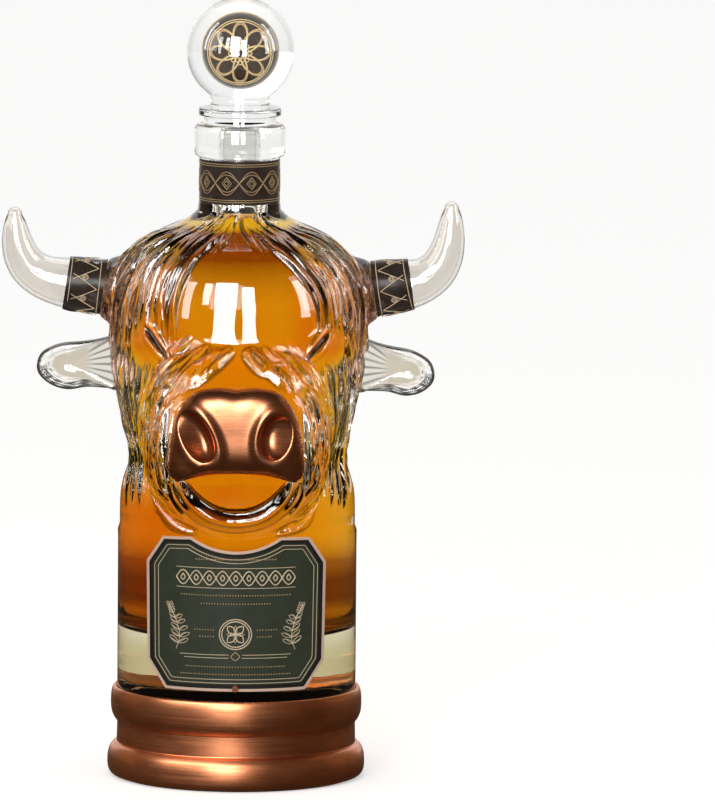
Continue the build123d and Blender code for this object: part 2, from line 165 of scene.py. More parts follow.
def set_inputs(node, inputs):
    """Sets a node's inputs to constants, or joins them to other nodes' outputs."""
    for name, value in inputs.items():
        if isinstance(value, bpy.types.NodeSocket):
            node.id_data.links.new(value, node.inputs[name])
        else:
            node.inputs[name].default_value = value


def add_node(tree, kind, inputs=None, **settings):
    """A new node with its settings made first and then its inputs."""
    node = tree.nodes.new(kind)
    for name, value in settings.items():
        setattr(node, name, value)
    set_inputs(node, inputs or {})
    return node


def maths(tree, operation, a, b):
    """Two values put through a maths node."""
    return add_node(tree, "ShaderNodeMath", {0: a, 1: b}, operation=operation).outputs[0]


def rising(gone, reach):
    """How much of a reach is gone, held between zero and one."""
    return np.clip(gone / reach, 0, 1)


def way_at(turn, rise=0.0):
    """The direction at a turn from the front and a rise, both in radians."""
    return Vector((math.sin(turn) * math.cos(rise), -math.cos(turn) * math.cos(rise), math.sin(rise)))


# Camera, light and floor


def make_camera():
    """A long lens, a little above the decanter and to its right, as in the photograph."""
    lens = bpy.data.cameras.new("camera")
    lens.lens = 570.0
    lens.sensor_width = 36.0
    lens.clip_end = 50.0
    camera = add_object("camera", lens)
    stand = Vector((0.0455, -4.790, 0.757))
    aim = Vector((0.0455, 0.0, 0.1445))
    turn = (aim - stand).to_track_quat("-Z", "Y").to_matrix()
    lean = Matrix.Rotation(math.radians(0.45), 3, "Z")
    camera.matrix_world = Matrix.Translation(stand) @ (turn @ lean).to_4x4()
    bpy.context.scene.camera = camera


def make_softbox(name, place, aim, size, energy):
    """A rectangular softbox that faces a point."""
    lamp = bpy.data.lights.new(name, "AREA")
    lamp.shape = "RECTANGLE"
    lamp.size, lamp.size_y = size
    lamp.energy = energy
    box = add_object(name, lamp)
    box.location = place
    box.rotation_euler = (Vector(aim) - Vector(place)).to_track_quat("-Z", "Y").to_euler()
    return box


def make_glints(group, seen_through, *lamps):
    """Softboxes that only a new group of pieces mirrors, placed by turn and rise in degrees."""
    lit = bpy.data.collections.new(group)
    middle = Vector((0, 0, 0.17))
    for name, turn, rise, distance, width, height, level in lamps:
        place = middle + way_at(math.radians(turn), math.radians(rise)) * distance
        lamp = make_softbox(name, place, middle, (width, height), level * math.pi * width * height)
        lamp.visible_diffuse = False
        lamp.visible_transmission = seen_through
        lamp.light_linking.receiver_collection = lit
    return lit


def seen_by_eye(tree):
    """One where the camera looks, or metal and glass for it, and zero elsewhere."""
    path = tree.nodes.new("ShaderNodeLightPath")
    seen = path.outputs["Is Camera Ray"]
    for kind in ("Is Glossy Ray", "Is Transmission Ray"):
        seen = maths(tree, "MAXIMUM", seen, path.outputs[kind])
    return seen


def make_world(level):
    """A white studio: the camera, metal and glass see white, and the rest is lit at a plain level."""
    world = bpy.data.worlds.new("studio")
    bpy.context.scene.world = world
    world.use_nodes = True
    tree = world.node_tree
    tree.nodes.clear()
    fill, white = (
        add_node(tree, "ShaderNodeBackground", {"Color": (1, 1, 1, 1), "Strength": strength}).outputs[0]
        for strength in (level, 1.0)
    )
    mix = add_node(tree, "ShaderNodeMixShader", {0: seen_by_eye(tree), 1: fill, 2: white})
    add_node(tree, "ShaderNodeOutputWorld", {"Surface": mix.outputs[0]})


def make_floor():
    """A pale floor that keeps the decanter's shadow."""
    bm = bmesh.new()
    bmesh.ops.create_circle(bm, cap_ends=True, segments=96, radius=6.0)
    floor = link_mesh("floor", bm)
    floor.data.materials.append(floor_finish())


def make_flag(name, low, high, material):
    """Dark cloth between two open or closed lines of points, which only gloss reflects."""
    bm = bmesh.new()
    rims = [[bm.verts.new(point) for point in line] for line in (low, high)]
    for i in range(len(low) - 1):
        bm.faces.new((rims[0][i], rims[0][i + 1], rims[1][i + 1], rims[1][i]))
    flag = link_mesh(name, bm)
    flag.data.materials.append(material)
    flag.visible_camera = False
    flag.visible_diffuse = False
    flag.visible_shadow = False
    flag.visible_transmission = False


def arc_line(radius, start, end, level, steps=48):
    """Points on a level arc between two turns in degrees, counted from the front."""
    turns = np.radians(np.linspace(start, end, steps + 1))
    return [(radius * math.sin(a), -radius * math.cos(a), level) for a in turns]


# Meshes


def link_mesh(name, bm):
    """Makes an object of a bmesh, shaded smooth."""
    mesh = bpy.data.meshes.new(name)
    bm.to_mesh(mesh)
    bm.free()
    return link_smooth(name, mesh)


def link_smooth(name, mesh):
    """Makes a smooth-shaded object of a mesh."""
    mesh.polygons.foreach_set("use_smooth", [True] * len(mesh.polygons))
    return add_object(name, mesh)


def stitched(low, high):
    """Faces between two rings of point numbers. One ring may have a whole share of the other's points."""
    many, few = (low, high) if len(low) >= len(high) else (high, low)
    times = len(many) // len(few)
    if times == 1:
        return [(a, low[(c + 1) % len(low)], high[(c + 1) % len(low)], high[c]) for c, a in enumerate(low)]
    fans = [
        (a, many[(c + 1) % len(many)], few[(c + times // 2) // times % len(few)]) for c, a in enumerate(many)
    ]
    fans += [
        (a, many[(c * times + times - times // 2) % len(many)], few[(c + 1) % len(few)])
        for c, a in enumerate(few)
    ]
    return fans if many is low else [face[::-1] for face in fans]


def link_rings(name, rows, start, end, turned_in=False):
    """A closed skin over rings of points with a pole at each end."""
    places = np.concatenate(rows + [np.array(start, float)[None], np.array(end, float)[None]])
    firsts = np.concatenate([[0], np.cumsum([len(row) for row in rows])]).tolist()
    rings = [range(a, b) for a, b in zip(firsts[:-1], firsts[1:])]
    faces = []
    for low, high in zip(rings[:-1], rings[1:]):
        faces += stitched(low, high)
    pole, low, high = firsts[-1], rings[0], rings[-1]
    faces += [(pole, low[(c + 1) % len(low)], a) for c, a in enumerate(low)]
    faces += [(pole + 1, a, high[(c + 1) % len(high)]) for c, a in enumerate(high)]
    mesh = bpy.data.meshes.new(name)
    mesh.from_pydata(places.tolist(), [], faces)
    mesh.update()
    bm = bmesh.new()
    bm.from_mesh(mesh)
    if (bm.calc_volume(signed=True) < 0) != turned_in:
        bmesh.ops.reverse_faces(bm, faces=bm.faces)
    bm.to_mesh(mesh)
    bm.free()
    return link_smooth(name, mesh)


def joined(name, pieces):
    """One object from several, which are taken away."""
    bm = bmesh.new()
    for piece in pieces:
        bm.from_mesh(piece.data)
        bpy.data.objects.remove(piece)
    return link_mesh(name, bm)


def surface_tree(*names):
    """A search tree over some CAD nodes, with their doubled points merged."""
    bm = bmesh.new()
    for name in names:
        bm.from_mesh(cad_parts[name].data)
    bmesh.ops.remove_doubles(bm, verts=bm.verts, dist=1e-6)
    tree = BVHTree.FromBMesh(bm)
    bm.free()
    return tree


def curve_through(points, steps):
    """A smooth line through a few points, as an array."""
    points = np.array(points, float)
    ends = np.concatenate([2 * points[:1] - points[1:2], points, 2 * points[-1:] - points[-2:-1]])
    line = []
    spans = len(points) - 1
    for s in np.linspace(0, spans - 1e-9, steps):
        i = int(s)
        t = s - i
        a, b, c, d = ends[i : i + 4]
        line.append(
            0.5 * (2 * b + (c - a) * t + (2 * a - 5 * b + 4 * c - d) * t**2 + (3 * b - a - 3 * c + d) * t**3)
        )
    return np.array(line)


def way_along(line, scale=1.0):
    """How far along a line each of its points is."""
    return np.concatenate([[0], np.cumsum(np.linalg.norm(np.diff(line, axis=0) * scale, axis=1))])


def evened(line, count, scale=1.0):
    """A closed flat line with a number of points at even distances."""
    way = way_along(line, scale)
    spots = np.linspace(0, way[-1], count, endpoint=False)
    return np.stack([np.interp(spots, way, line[:, k]) for k in (0, 1)], 1)


def smoothed(field, sigma_rows, sigma_columns):
    """A field smoothed along its rows and round its columns."""
    if field.ndim == 2:
        return smoothed(field[..., None], sigma_rows, sigma_columns)[..., 0]

    def kernel(sigma):
        reach = int(math.ceil(sigma * 3))
        steps = np.arange(-reach, reach + 1)
        weights = np.exp(-0.5 * (steps / sigma) ** 2)
        return steps, weights / weights.sum()

    steps, weights = kernel(sigma_rows)
    padded = np.pad(field, ((-steps[0], steps[-1]), (0, 0), (0, 0)), mode="edge")
    field = sum(w * padded[i : i + field.shape[0]] for i, w in enumerate(weights))
    steps, weights = kernel(sigma_columns)
    return sum(w * np.roll(field, s, axis=1) for s, w in zip(steps, weights))


# The hair

# Guide lines for the fringe on each side of the bare forehead: turns from the front, levels in millimetres
fringe_guides = {
    -1: [
        [(8, 212), (23, 203), (29, 188), (29, 167)],
        [(22, 214), (36, 204), (40, 189), (41, 166)],
        [(40, 214), (53, 204), (61, 190), (65, 163)],
    ],
    1: [
        [(9, 212), (27, 202), (38, 188), (40, 167)],
        [(24, 214), (38, 205), (48, 190), (51, 166)],
        [(40, 214), (53, 204), (62, 190), (66, 163)],
    ],
}
# Top of the head, falling forwards and out over the forehead's edge
crown_edge = (
    ((2, 217), (4, 213), (9, 207), (16, 204)),
    ((14, 217.5), (18, 213), (26, 207), (34, 200)),
    ((30, 217.5), (36, 212), (44, 206), (51, 199)),
)
# Temples, down behind the eyes to the ears
temples = (((44, 213), (56, 203), (66, 188), (70, 163)), ((75, 213), (80, 204), (76, 186), (78, 160)))
# Crown at the back: broad shallow locks, because they show through the forehead
crown_back = (
    ((98, 214), (100, 204), (104, 186), (104, 150)),
    ((140, 214), (142, 204), (144, 182), (142, 142)),
    ((180, 214), (179, 202), (179, 180), (178, 138)),
)
# Bridge of the nose: fine strands that part and sweep out and down round the pad
bridge = (
    ((1.0, 171), (3.5, 167.5), (7, 164), (11, 160.5), (16, 157)),
    ((3.5, 173), (10, 167), (18, 160), (26, 150), (29, 138)),
    ((13, 174), (21, 167), (29, 157), (35, 144), (35, 124)),
    ((25, 174), (33, 166), (39, 153), (41, 138), (38, 114)),
)
# Sides of the muzzle, down round the nose to the lip
muzzle_side = (
    ((22.4, 153), (23.4, 143), (23.8, 132), (22.6, 120), (17.5, 110.5)),
    ((26, 151), (27.2, 140), (27.5, 130), (26, 118), (20, 107.5)),
    ((31, 150), (32, 138), (31.5, 125), (29, 113), (23, 104.5)),
    ((37, 150), (37, 138), (35.5, 125), (32.5, 112), (26, 103)),
    ((46, 152), (45, 140), (43, 126), (40, 113), (31, 101.5)),
)
# Cheeks, from the eyes down to the jaw
cheeks = (
    ((37, 164), (43, 150), (46, 134), (41, 110)),
    ((58, 166), (60, 150), (60, 130), (55, 104)),
    ((84, 172), (84, 150), (80, 130), (76, 104)),
)
# Lower back of the head, shallow as the crown's
lower_back = (
    ((92, 158), (92, 140), (92, 124), (90, 106)),
    ((135, 160), (137, 142), (136, 126), (134, 106)),
    ((178, 158), (178, 142), (177, 126), (176, 106)),
)
# Jaw and beard, curving in under the mouth
beard = (((34, 130), (33, 117), (24, 105), (4, 99.5)), ((46, 130), (43, 112), (33, 101), (12, 97.5)))
# The outer and inner end of each closed eye
eye_slits = (((-48.0, 177.5), (-31.0, 163.6)), ((46.5, 175.2), (31.0, 163.6)))


def locks_between(guides, count, seed, width, rise, sides=(1, -1), stray=0.10, wander=0.8, layer=0):
    """Hair locks between neighbouring guide lines, each a path with its half width, rise, layer and painted
    shade.
    """
    dice = random.Random(seed)
    shade_dice = random.Random(seed + 500)
    guides = np.array(guides, float)
    made = []
    for side in sides:
        for n in range(count):
            place = (n + 0.5 + dice.uniform(-0.35, 0.35)) / count * (len(guides) - 1)
            i = min(int(place), len(guides) - 2)
            share = place - i
            path = curve_through(guides[i] * (1 - share) + guides[i + 1] * share, 40)
            start, end = dice.uniform(0, stray), 1 - dice.uniform(0, stray)
            keep = np.linspace(start, end, 26) * (len(path) - 1)
            low = np.floor(keep).astype(int)
            high = np.minimum(low + 1, len(path) - 1)
            path = path[low] + (path[high] - path[low]) * (keep - low)[:, None]
            wave = np.sin(np.linspace(0, dice.uniform(2, 7), len(path)) + dice.uniform(0, 6))
            path[:, 0] += wave * dice.uniform(0.3, 1.3) * wander
            path[:, 0] *= side
            # A few strands get painted shade along them
            shade = shade_dice.uniform(0.35, 0.9) * (shade_dice.random() < (0.07, 0.18)[layer])
            made.append((path, dice.uniform(*width), dice.uniform(*rise), layer, shade))
    return made


def strands_over(guides, count, seed, width, rise, sides=(1, -1)):
    """Short thin strands laid over the locks, which cross them a little and taper at both ends."""
    return locks_between(guides, count, seed, width, rise, sides, stray=0.42, wander=1.9, layer=1)


def hair_locks():
    """All the hair of the head, as turns in degrees from the front and levels in millimetres."""
    locks = []
    for side, guides in fringe_guides.items():
        locks += locks_between(guides, 15, 3, (1.1, 2.3), (1.0, 2.2), (side,))
        locks += strands_over(guides, 30, 23, (0.55, 1.0), (1.0, 1.9), (side,))
    locks += strands_over(crown_edge, 30, 29, (0.6, 1.3), (1.0, 2.0))
    locks += locks_between(temples, 9, 5, (1.2, 2.4), (1.2, 2.3))
    locks += strands_over(temples, 16, 27, (0.6, 1.1), (1.0, 2.0))
    locks += locks_between(crown_back, 9, 7, (3.4, 5.2), (0.7, 1.2))
    locks += locks_between(bridge, 17, 11, (0.9, 1.6), (1.2, 2.2), stray=0.25)
    locks += strands_over(bridge, 40, 31, (0.55, 1.0), (1.3, 2.2))
    locks += locks_between(muzzle_side, 18, 47, (0.8, 1.5), (0.9, 1.8), stray=0.2, wander=0.5)
    locks += strands_over(muzzle_side, 52, 53, (0.55, 1.0), (1.1, 2.2))
    locks += locks_between(cheeks, 18, 13, (1.1, 2.2), (1.3, 2.6))
    locks += strands_over(cheeks, 44, 37, (0.55, 1.1), (1.2, 2.6))
    locks += locks_between(lower_back, 11, 17, (3.0, 4.6), (0.7, 1.2))
    locks += locks_between(beard, 9, 19, (0.9, 1.6), (1.3, 2.2))
    locks += strands_over(beard, 18, 41, (0.6, 1.0), (1.2, 2.2))
    # Lids over and under the eyes
    for outer, inner in eye_slits:
        for lift, rise in ((2.6, 1.1), (-2.3, 0.8)):
            middle = ((outer[0] + inner[0]) / 2, (outer[1] + inner[1]) / 2 + lift * 1.25)
            ends = [(outer[0], outer[1] + lift), middle, (inner[0], inner[1] + lift * 0.7)]
            locks.append((curve_through(ends, 16), 1.4, rise, 0, 0.0))
    return locks


def skin_line(tree, path):
    """The points on the glass under a path of turns and levels."""
    line = []
    for turn, level in path:
        way = way_at(math.radians(turn))
        hit = tree.ray_cast(Vector((0, 0, level * mm)) + way * ray_start, -way)[0]
        if hit is not None:
            line.append(hit)
    return np.array(line, float)


def near_line(flat, line, reach):
    """The points of a grid within reach of a line: their numbers, their gaps and their shares along it."""
    low, high = line.min(0) - reach, line.max(0) + reach
    near = np.nonzero(np.all((flat > low) & (flat < high), axis=1))[0]
    points = flat[near]
    best = np.full(len(near), 9.0)
    where = np.zeros(len(near))
    for i in range(len(line) - 1):
        a, step = line[i], line[i + 1] - line[i]
        t = np.clip(((points - a) @ step) / (step @ step + 1e-12), 0, 1)
        gap = np.linalg.norm(points - (a + t[:, None] * step), axis=1)
        closer = gap < best
        best[closer] = gap[closer]
        where[closer] = (i + t[closer]) / (len(line) - 1)
    return near, best, where


def raise_locks(grid, tree):
    """How far the hair lifts each point of the grid, and the painted shade along its darker strands there."""
    layers = np.zeros((2, *grid.shape[:2]))
    dark = np.zeros(grid.shape[0] * grid.shape[1])
    flat = grid.reshape(-1, 3)
    for path, half_width, rise, layer, shade in hair_locks():
        out = layers[layer].reshape(-1)
        half_width *= mm
        rise *= mm
        line = skin_line(tree, path)
        if len(line) < 4:
            continue
        near, gap, where = near_line(flat, line, half_width)
        taper = np.clip(np.minimum(where / 0.25, (1 - where) / 0.4), 0, 1)
        taper = 0.12 + 0.88 * np.sin(taper * math.pi / 2)
        across = rising(gap, half_width * taper)
        out[near] = np.maximum(out[near], rise * taper * (1 - across**2) ** 0.65)
        if shade:
            shade = shade * np.clip(taper * 1.4, 0, 1) * rising(0.85 - across, 0.4)
            dark[near] = np.maximum(dark[near], shade)
    return layers[0] * 0.85 + layers[1] * 0.62, dark.reshape(grid.shape[:2])


def carve_eyes(grid, tree):
    """How deep the closed eyes are cut at each point of the grid."""
    depth = np.zeros(grid.shape[:2])
    out = depth.reshape(-1)
    for outer, inner in eye_slits:
        middle = ((outer[0] + inner[0]) / 2, (outer[1] + inner[1]) / 2 + 0.9)
        line = skin_line(tree, curve_through([outer, middle, inner], 16))
        near, gap, where = near_line(grid.reshape(-1, 3), line, eye_cut)
        taper = np.sin(np.clip(np.minimum(where / 0.3, (1 - where) / 0.3), 0, 1) * math.pi / 2)
        across = rising(gap, eye_cut * (0.3 + 0.7 * taper))
        out[near] = np.maximum(out[near], eye_cut * taper * (1 - across**2))
    return depth


def turned_away(turns):
    """How far some turns are from the front, in degrees."""
    return np.abs(np.degrees((turns + math.pi) % math.tau - math.pi))


def tube(radius, levels, turns):
    """Rings of one radius at some levels."""
    return [ring(radius, level, turns) for level in levels]


def rounded(radius, level, size, steps, turns, up=1):
    """Rings round a rounded edge, from its level out to its radius."""
    rows = []
    for a in np.linspace(0, 1, steps + 1) * math.pi / 2:
        rows.append(ring(radius - size * (1 - math.sin(a)), level + up * size * (1 - math.cos(a)), turns))
    return rows


# The bottle


def set_columns():
    """The turns of the bottle's columns, closest over the face."""
    spots = np.linspace(-75, 75, 601)
    away = abs(spots)
    wanted = np.interp(away, (0, 16, 21, 24, 36, 40, 60, 75), (1.7, 1.7, 2.2, 3.3, 3.3, 2.2, 1.9, 1.2))
    way = np.concatenate([[0], np.cumsum((wanted[1:] + wanted[:-1]) / 2)])
    front = np.interp(np.linspace(0, way[-1], 324, endpoint=False), way, spots)
    back = np.linspace(75, 285, 96, endpoint=False)
    return np.radians(np.concatenate([front, back]))


def ring(radius, level, turns):
    """One level ring of points."""
    radius = np.broadcast_to(radius, turns.shape)
    return np.stack([radius * np.sin(turns), -radius * np.cos(turns), np.full_like(turns, level)], 1)


def felt_rows(tree, turns, levels, rises, outside):
    """Rings of points where rays meet the glass: level rays, then rays fanned from the head's middle."""
    rows = []
    looks = [(Vector((0, 0, level)), 0.0) for level in levels]
    looks += [(Vector((0, 0, head_middle)), rise) for rise in rises]
    for origin, rise in looks:
        row = []
        for turn in turns:
            way = way_at(turn, rise)
            ray = (origin + way * ray_start, -way) if outside else (origin, way)
            hit = tree.ray_cast(*ray)[0]
            row.append(hit if hit is not None else origin + way * 0.01)
        rows.append(row)
    return np.array(rows, float)


def grid_normals(grid):
    """The outward direction at each point of a ring grid."""
    along = np.gradient(grid, axis=0)
    round_it = np.roll(grid, -1, axis=1) - np.roll(grid, 1, axis=1)
    normals = np.cross(round_it, along)
    normals /= np.linalg.norm(normals, axis=2, keepdims=True) + 1e-12
    outwards = np.einsum("rci,rci->rc", normals, grid * [1, 1, 0])
    normals[outwards < 0] *= -1
    return normals


def close_mouth(grid):
    """The muzzle's front with the CAD part's mouth and lip smoothed over, ready for the finer ones."""
    grid = grid.copy()
    x, y, z = (grid[..., k] for k in range(3))
    for c in range(grid.shape[1]):
        inside = (y[:, c] < -0.050) & (abs(x[:, c]) < 0.0245) & (z[:, c] > 0.1035) & (z[:, c] < 0.1235)
        column = np.nonzero(inside)[0]
        if len(column) < 3:
            continue
        low, high = column[0] - 1, column[-1] + 1
        share = ((z[column, c] - z[low, c]) / (z[high, c] - z[low, c]))[:, None]
        bulge = 0.0012 * np.sin(share * math.pi) * [0, -1, 0]
        grid[column, c] = grid[low, c] + (grid[high, c] - grid[low, c]) * share + bulge
    return grid


def shape_mouth(grid):
    """The open mouth, its rolled lips and the chin's folds: how far they lift the glass, and their shade."""
    x, y, z = (grid[..., k] for k in range(3))
    inner, outer = (
        (np.hypot(x, z - level) - radius) * 1000 for radius, level in (mouth_inner_arc, mouth_outer_arc)
    )
    across = np.clip(inner / np.maximum(inner - outer, 0.1), 0, 1) * (inner > 0)
    gap = np.interp(across, (0, 0.12, 0.35, 0.5, 0.62, 0.85, 1), (-0.7, -1.6, -2.8, -2.0, -2.9, -1.8, 0.0))
    rolls = np.interp(
        outer,
        (0, 1.1, 2.1, 2.6, 3.1, 4.2, 5.2, 5.7, 6.3, 7.6, 9.6, 11),
        (0, 1.5, 0.7, -0.4, 0.3, 1.2, 0.4, -0.3, 0.2, 0.7, 0.1, 0),
    )
    # Painted shade: dark in the mouth's gap, and in the folds of the lip rolls and the chin
    dark = np.interp(across, (0, 0.10, 0.40, 0.5, 0.60, 0.90, 1), (0, 1.0, 1.0, 0.45, 1.0, 1.0, 0.5))
    folds = np.interp(outer, (0, 0.5, 2.0, 2.6, 3.2, 5.1, 5.7, 6.3), (0.5, 0, 0.3, 1.0, 0.2, 0.2, 0.9, 0))
    front = (y < -0.045) * rising(0.1215 - z, 0.0022) * rising(0.0245 - abs(x), 0.003)
    lift = np.where(inner <= 0, -0.7, np.where(outer < 0, gap, rolls)) * mm * front
    shade = np.where(inner <= 0, 0, np.where(outer < 0, dark, folds)) * rising(0.1200 - z, 0.002) * front
    return smoothed(lift, 0.7, 0.7), shade


def head_skin(tree, turns):
    """The head's outside with its hair and eyes, and its painted shade: between the locks, along darker
    strands, in the eyes and in the mouth.
    """
    levels = np.linspace(0.0960, head_middle, 150, endpoint=False)
    grid = close_mouth(felt_rows(tree, turns, levels, np.radians(np.linspace(0, 65.0, 58)), True))
    x, y, z = (grid[..., k] for k in range(3))
    # The horns' sockets are smoothed less than the rest
    keep = smoothed(((abs(x) > 0.044) & (z > 0.165)) * 1.0, 1.5, 1.5)[..., None]
    grid = smoothed(grid, 1.0, 1.0) * keep + smoothed(grid, 4.0, 5.0) * (1 - keep)
    normals = grid_normals(grid)
    lift, dark = raise_locks(grid, tree)
    # No hair grows under the nose
    pad = np.exp(-((x / 0.0258) ** 24) - (((z - 0.1385) / 0.0190) ** 16)) * (y < -0.050)
    lift = smoothed(lift * (1 - pad), 0.5, 0.5)
    depth = smoothed(carve_eyes(grid, tree), 0.5, 0.5)
    # Painted shade between the locks, along the darker strands and in the closed eyes
    head_shade = rising(smoothed(lift, 1.7, 1.7) - lift - 0.00004, 0.00018)
    head_shade = np.maximum(head_shade * 0.60, dark * (1 - pad)) * rising(118 - turned_away(turns), 25)
    head_shade = np.maximum(head_shade, rising(depth - 0.0001, 0.0003))
    change, shade = shape_mouth(grid)
    head_shade = np.maximum(head_shade * (1 - rising(abs(change), 0.0004)), shade)
    lift = lift * (1 - rising(abs(change), 0.0008)) - depth + change
    return grid + normals * lift[..., None], head_shade


def paint(piece, name, values):
    """Gives each point of a piece a share that its finish reads by name."""
    piece.data.attributes.new(name, "FLOAT", "POINT").data.foreach_set("value", values)


def paint_zones(bottle):
    """The glass's tints by place: its floor and amber at the temples, and painted shade on the left side, low
    on the body and at the forehead's top.
    """
    x, y, z = (np.array([vertex.co[k] for vertex in bottle.data.vertices]) for k in range(3))
    front = rising(-y, 0.01)
    # Painted shade at the forehead's top and low on the body
    brow_shade = rising(z - 0.1860, 0.016) * rising(0.2130 - z, 0.002) * front * rising(0.034 - abs(x), 0.014)
    low_body_shade = rising(z - 0.0590, 0.003) * rising(0.0880 - z, 0.009) * 0.93
    # Painted shade on the body's left side, carried with the amber at the temples
    left_side_shade = rising(0.1180 - z, 0.012) * rising(-x - 0.006, 0.024) * (z > 0.06)
    temples = rising(z - 0.160, 0.008) * rising(0.2060 - z, 0.008) * (rising(abs(x) - 0.016, 0.010) * front)
    paint(bottle, "floor", rising(0.0620 - z, 0.010))
    paint(bottle, "amber", np.maximum(temples, left_side_shade))
    paint(bottle, "deep", np.maximum(low_body_shade, brow_shade))


def make_bottle():
    """The bottle: the head and its hair, the thick-bottomed body, the neck and lip, and the hollow inside."""
    tree = surface_tree("bottle_glass")
    turns = set_columns()
    few = turns[::4]
    skin, head_shade = head_skin(tree, turns)
    rows = rounded(body_radius, glass_bottom, body_bottom_round, 4, few)
    rows += tube(body_radius, np.linspace(glass_bottom + 0.008, 0.092, 22), few)
    rows.append(ring(body_radius, 0.0945, turns))
    first = sum(len(row) for row in rows)
    rows += list(skin)
    rows.append(ring(neck_radius + 0.0006, neck_root + 0.0004, turns))
    rows.append(ring(neck_radius, neck_root + 0.0016, few))
    rows += tube(neck_radius, np.linspace(neck_root + 0.004, lip_level - 0.0006, 4), few)
    rows.append(ring(neck_radius + 0.0003, lip_level - 0.0001, few))
    rows += rounded(lip_radius, lip_level, lip_round, 4, few)
    rows += rounded(lip_radius, lip_top, lip_round, 4, few, up=-1)[::-1]
    rows.append(ring(bore_radius + 0.0008, lip_top, few))
    rows += tube(bore_radius, [lip_top - 0.0008, *np.linspace(0.246, 0.218, 5)], few)
    start = sum(len(row) for row in rows)
    inner = inner_rows(tree, few)
    bottle = link_rings("glass_bottle", rows + inner[::-1], (0, 0, glass_bottom), (0, 0, cavity_floor))
    # The head's painted shade, made stronger, for the glass's colour
    painted_shade = np.zeros(len(bottle.data.vertices))
    painted_shade[first : first + head_shade.size] = 1 - (1 - head_shade.reshape(-1)) ** 2
    paint(bottle, "painted_shade", painted_shade)
    paint_zones(bottle)
    bottle.data.materials.append(head_glass())
    bottle.data.materials.append(through_glass(wet_finish("wetted_glass", 1.5)))
    for face in bottle.data.polygons:
        if min(face.vertices) >= start and face.center.z < liquor_level:
            face.material_index = 1
    return bottle, inner


def inner_rows(tree, turns):
    """The hollow's rings, from its floor to the root of the bore, drawn in at the sides and the crown."""
    reach = body_radius - body_wall
    rows = rounded(reach, cavity_floor, cavity_floor_round, 7, turns)
    rows += tube(reach, (0.084, 0.091, 0.096), turns)
    levels = np.linspace(0.100, head_middle, 30, endpoint=False)
    rises = np.radians(np.linspace(0, 72, 20))
    felt = smoothed(felt_rows(tree, turns, levels, rises, False), 1.6, 1.8)
    z = felt[..., 2]
    aside = rising(turned_away(turns) - 38, 34)
    up = rising(z - 0.112, 0.016)
    top = rising(z - 0.180, 0.022) * rising(0.2165 - z, 0.003)
    shrink = 1 - smoothed(aside * up * (0.10 + 0.12 * top), 2.0, 1.5)
    return rows + list(felt * np.stack([shrink, shrink, np.ones_like(shrink)], 2))


def make_liquor(rows):
    """The drink: it fills the hollow up to its level and sits a hair's breadth into the glass."""
    made = []
    for row in rows:
        radial = row * [1, 1, 0]
        made.append(row + radial / np.linalg.norm(radial, axis=1, keepdims=True) * glass_bond)
    made[0] = made[0] - [0, 0, glass_bond]
    kept = [row for row in made if row[:, 2].max() < liquor_level - 0.0004]
    below, above = kept[-1], made[len(kept)]
    share = np.clip((liquor_level - below[:, 2:3]) / (above[:, 2:3] - below[:, 2:3]), 0, 1)
    edge = below + (above - below) * share
    edge[:, 2] = liquor_level
    brim = edge * [0.965, 0.965, 1] - [0, 0, 0.0006]
    kept += [edge, brim, brim * [0.6, 0.6, 1]]
    middle = (0, 0, liquor_level - 0.0006)
    return link_rings("liquor", kept, (0, 0, cavity_floor - glass_bond), middle)


def make_base():
    """The spun copper base: a bulged collar, a cove and a rounded foot, with the recess for the glass."""
    section = list(base_recess)
    for part in base_outside:
        section += list(curve_through(part, 9 * (len(part) - 1)))
    section += base_inside
    turns = np.linspace(0, math.tau, 192, endpoint=False)
    rows = [ring(radius * mm, level * mm, turns) for radius, level in section]
    return link_rings("copper_base", rows, (0, 0, section[0][1] * mm), (0, 0, section[-1][1] * mm))


# The nose


def nose_edge(count):
    """The nose's outline as seen from the front, as points round it from the top."""
    half = np.array(nose_shares) * [nose_half_width, nose_height]
    right = curve_through(half, 60)
    right[0, 0] = 0
    end = right[-1]
    foot = curve_through([end, end * [0.5, 1] + [0, mouth_arch * 0.78], (0, end[1] + mouth_arch)], 30)
    right = np.concatenate([right, foot[1:]])
    return evened(np.concatenate([right, right[-2::-1] * [-1, 1]]), count)


def nose_front(x, z):
    """How far the nostrils and their wings change the nose's front."""
    change = np.zeros_like(x)
    for side in (-1, 1):
        lean = math.radians(14) * side
        across, up = x - side * nostril_offset, z - nose_bottom - nostril_rise
        turned = (across * math.cos(lean) - up * math.sin(lean)) * side / 0.0060
        raised = (across * side * math.sin(lean) + up * math.cos(lean)) / 0.0086
        gap = np.hypot(turned, raised)
        change += 0.0011 * np.exp(-(((gap - 1.22) / 0.34) ** 2)) * np.clip(0.75 - 0.35 * turned, 0, 1.2)
        hollow = np.clip(1 - gap**2, 0, 1) ** 0.62 * np.clip(0.62 - 0.42 * turned, 0.12, 1)
        change -= 0.0066 * hollow
    groove = np.exp(-((x / 0.0011) ** 2)) * rising(0.1295 - z, 0.006)
    return change - 0.0004 * groove


